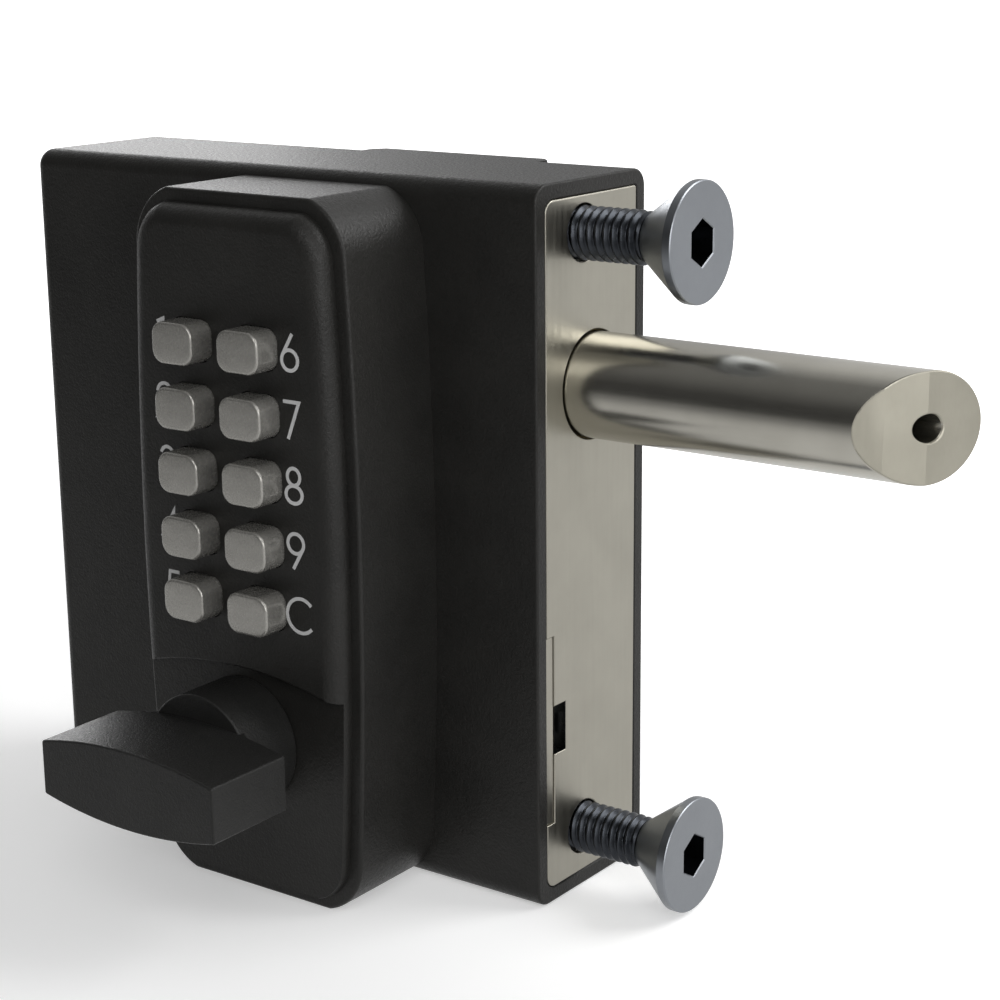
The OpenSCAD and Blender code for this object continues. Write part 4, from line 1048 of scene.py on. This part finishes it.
def ramp(tree, value, ends, levels):
    made = mapped(tree, value, ends, levels)
    made.interpolation_type = "SMOOTHSTEP"
    return made.outputs["Result"]


def shown(tree, direct, mirrored):
    # what the camera sees of the white background, and what metal and glass see of it
    path = node(tree, "ShaderNodeLightPath")
    seen = mathNode(tree, "MULTIPLY", path.outputs["Is Camera Ray"], direct)
    bounced = mathNode(tree, "ADD", path.outputs["Is Glossy Ray"], path.outputs["Is Transmission Ray"])
    return mathNode(tree, "MULTIPLY_ADD", bounced, mirrored, seen)


def makeFloor():
    # the glow is brighter behind the object and far away, where a studio's floor turns up into its walls
    floorLook = {"size": 12, "color": 0.8, "reflectedDim": 0.4, "glow": (0.3, 1.0), "rise": (-0.15, 0.4),
        "far": (0.35, 1.3), "mirrored": (0.0, 0.52), "mirroredRise": (-0.5, 0.05)}
    size, z = floorLook["size"], caseLow[2] * mm - 0.0002
    mesh = bpy.data.meshes.new("floor")
    corners = [(-size, -size, z), (size, -size, z), (size, size, z), (-size, size, z)]
    mesh.from_pydata(corners, [], [(0, 1, 2, 3)])
    floor = linked("floor", mesh)
    mat = bpy.data.materials.new("floor")
    mat.use_nodes = True
    tree = mat.node_tree
    tree.nodes.clear()
    coords = node(tree, "ShaderNodeTexCoord").outputs["Object"]
    depth = node(tree, "ShaderNodeSeparateXYZ", i0=coords).outputs["Y"]
    away = node(tree, "ShaderNodeVectorMath", i0=coords)
    away.operation = "LENGTH"
    distant = ramp(tree, away.outputs["Value"], floorLook["far"], floorLook["glow"])
    direct = ramp(tree, depth, floorLook["rise"], floorLook["glow"])
    direct = mathNode(tree, "MAXIMUM", direct, distant)
    mirrored = ramp(tree, depth, floorLook["mirroredRise"], floorLook["mirrored"])
    glossy = node(tree, "ShaderNodeLightPath").outputs["Is Glossy Ray"]
    # painted reflection level: in reflections the floor's matt colour is lower, so metal mirrors it darker than
    # the camera sees it
    shade = mathNode(tree, "MULTIPLY_ADD", glossy, -floorLook["reflectedDim"], floorLook["color"])
    matt = node(tree, "ShaderNodeBsdfDiffuse", Color=shade)
    glow = node(tree, "ShaderNodeEmission", Strength=shown(tree, direct, mirrored))
    both = node(tree, "ShaderNodeAddShader", i0=matt.outputs[0], i1=glow.outputs[0])
    node(tree, "ShaderNodeOutputMaterial", i0=both.outputs[0])
    floor.data.materials.append(mat)


def makeWorld():
    # how bright the studio is all round, and what its back, right side and ceiling add
    studio = {"base": 0.06, "back": 0.25, "side": 0.25, "ceiling": 0.15, "turn": (-0.2, 0.6),
        "window": (-0.73, -0.51), "mirrored": (0.95, 0.2), "opening": (-0.5, -0.41), "share": 0.5}
    world = bpy.data.worlds.new("studio")
    world.use_nodes = True
    tree = world.node_tree
    coords = node(tree, "ShaderNodeTexCoord").outputs["Generated"]
    split = node(tree, "ShaderNodeSeparateXYZ", i0=coords)
    total = studio["base"]
    walls = (("Y", (-0.25, 0.7), studio["back"]), ("X", (0.1, 0.9), studio["side"]),
        ("Z", (0.25, 0.9), studio["ceiling"]))
    for axis, ends, most in walls:
        total = mathNode(tree, "ADD", ramp(tree, split.outputs[axis], ends, (0, most)), total)
    dim = tree.nodes["Background"]
    dim.inputs["Color"].default_value = (1, 1, 1, 1)
    tree.links.new(total, dim.inputs["Strength"])
    white = node(tree, "ShaderNodeBackground", Color=(1, 1, 1, 1))
    # in reflections the side behind the camera stays dim, and the back left is brighter than the back right
    behind = ramp(tree, split.outputs["Y"], studio["turn"], (0, 1))
    window = ramp(tree, split.outputs["X"], studio["window"], studio["mirrored"])
    opening = ramp(tree, split.outputs["X"], studio["opening"], (0, studio["share"]))
    window = mathNode(tree, "ADD", window, opening)
    share = shown(tree, 1, mathNode(tree, "MULTIPLY", behind, window))
    mix = node(tree, "ShaderNodeMixShader", i0=share, i1=dim.outputs[0], i2=white.outputs[0])
    tree.links.new(mix.outputs[0], tree.nodes["World Output"].inputs[0])
    scene.world = world


def lamp(name, place, target, size, power):
    light = bpy.data.lights.new(name, "AREA")
    light.shape = "RECTANGLE"
    light.size, light.size_y = size
    light.energy = power
    obj = linked(name, light)
    obj.location = place
    obj.rotation_euler = (Vector(target) - Vector(place)).to_track_quat("-Z", "Y").to_euler()


makeFloor()
makeWorld()
lamp("topSoftbox", (0.85, 0.7, 0.95), (-0.05, 0, 0), (0.9, 0.8), 12)
lamp("backPanel", (-1.42, 1.07, 0.35), (-0.08, 0, 0.05), (0.66, 0.7), 4.6)
lamp("frontFill", (0.6, -1.0, 0.95), (-0.05, 0, 0), (0.8, 0.7), 5)
lamp("sideFill", (1.25, -0.6, 0.25), (0, 0, 0), (1.0, 0.8), 8)
scene.view_settings.view_transform = "Standard"
print("lights placed")
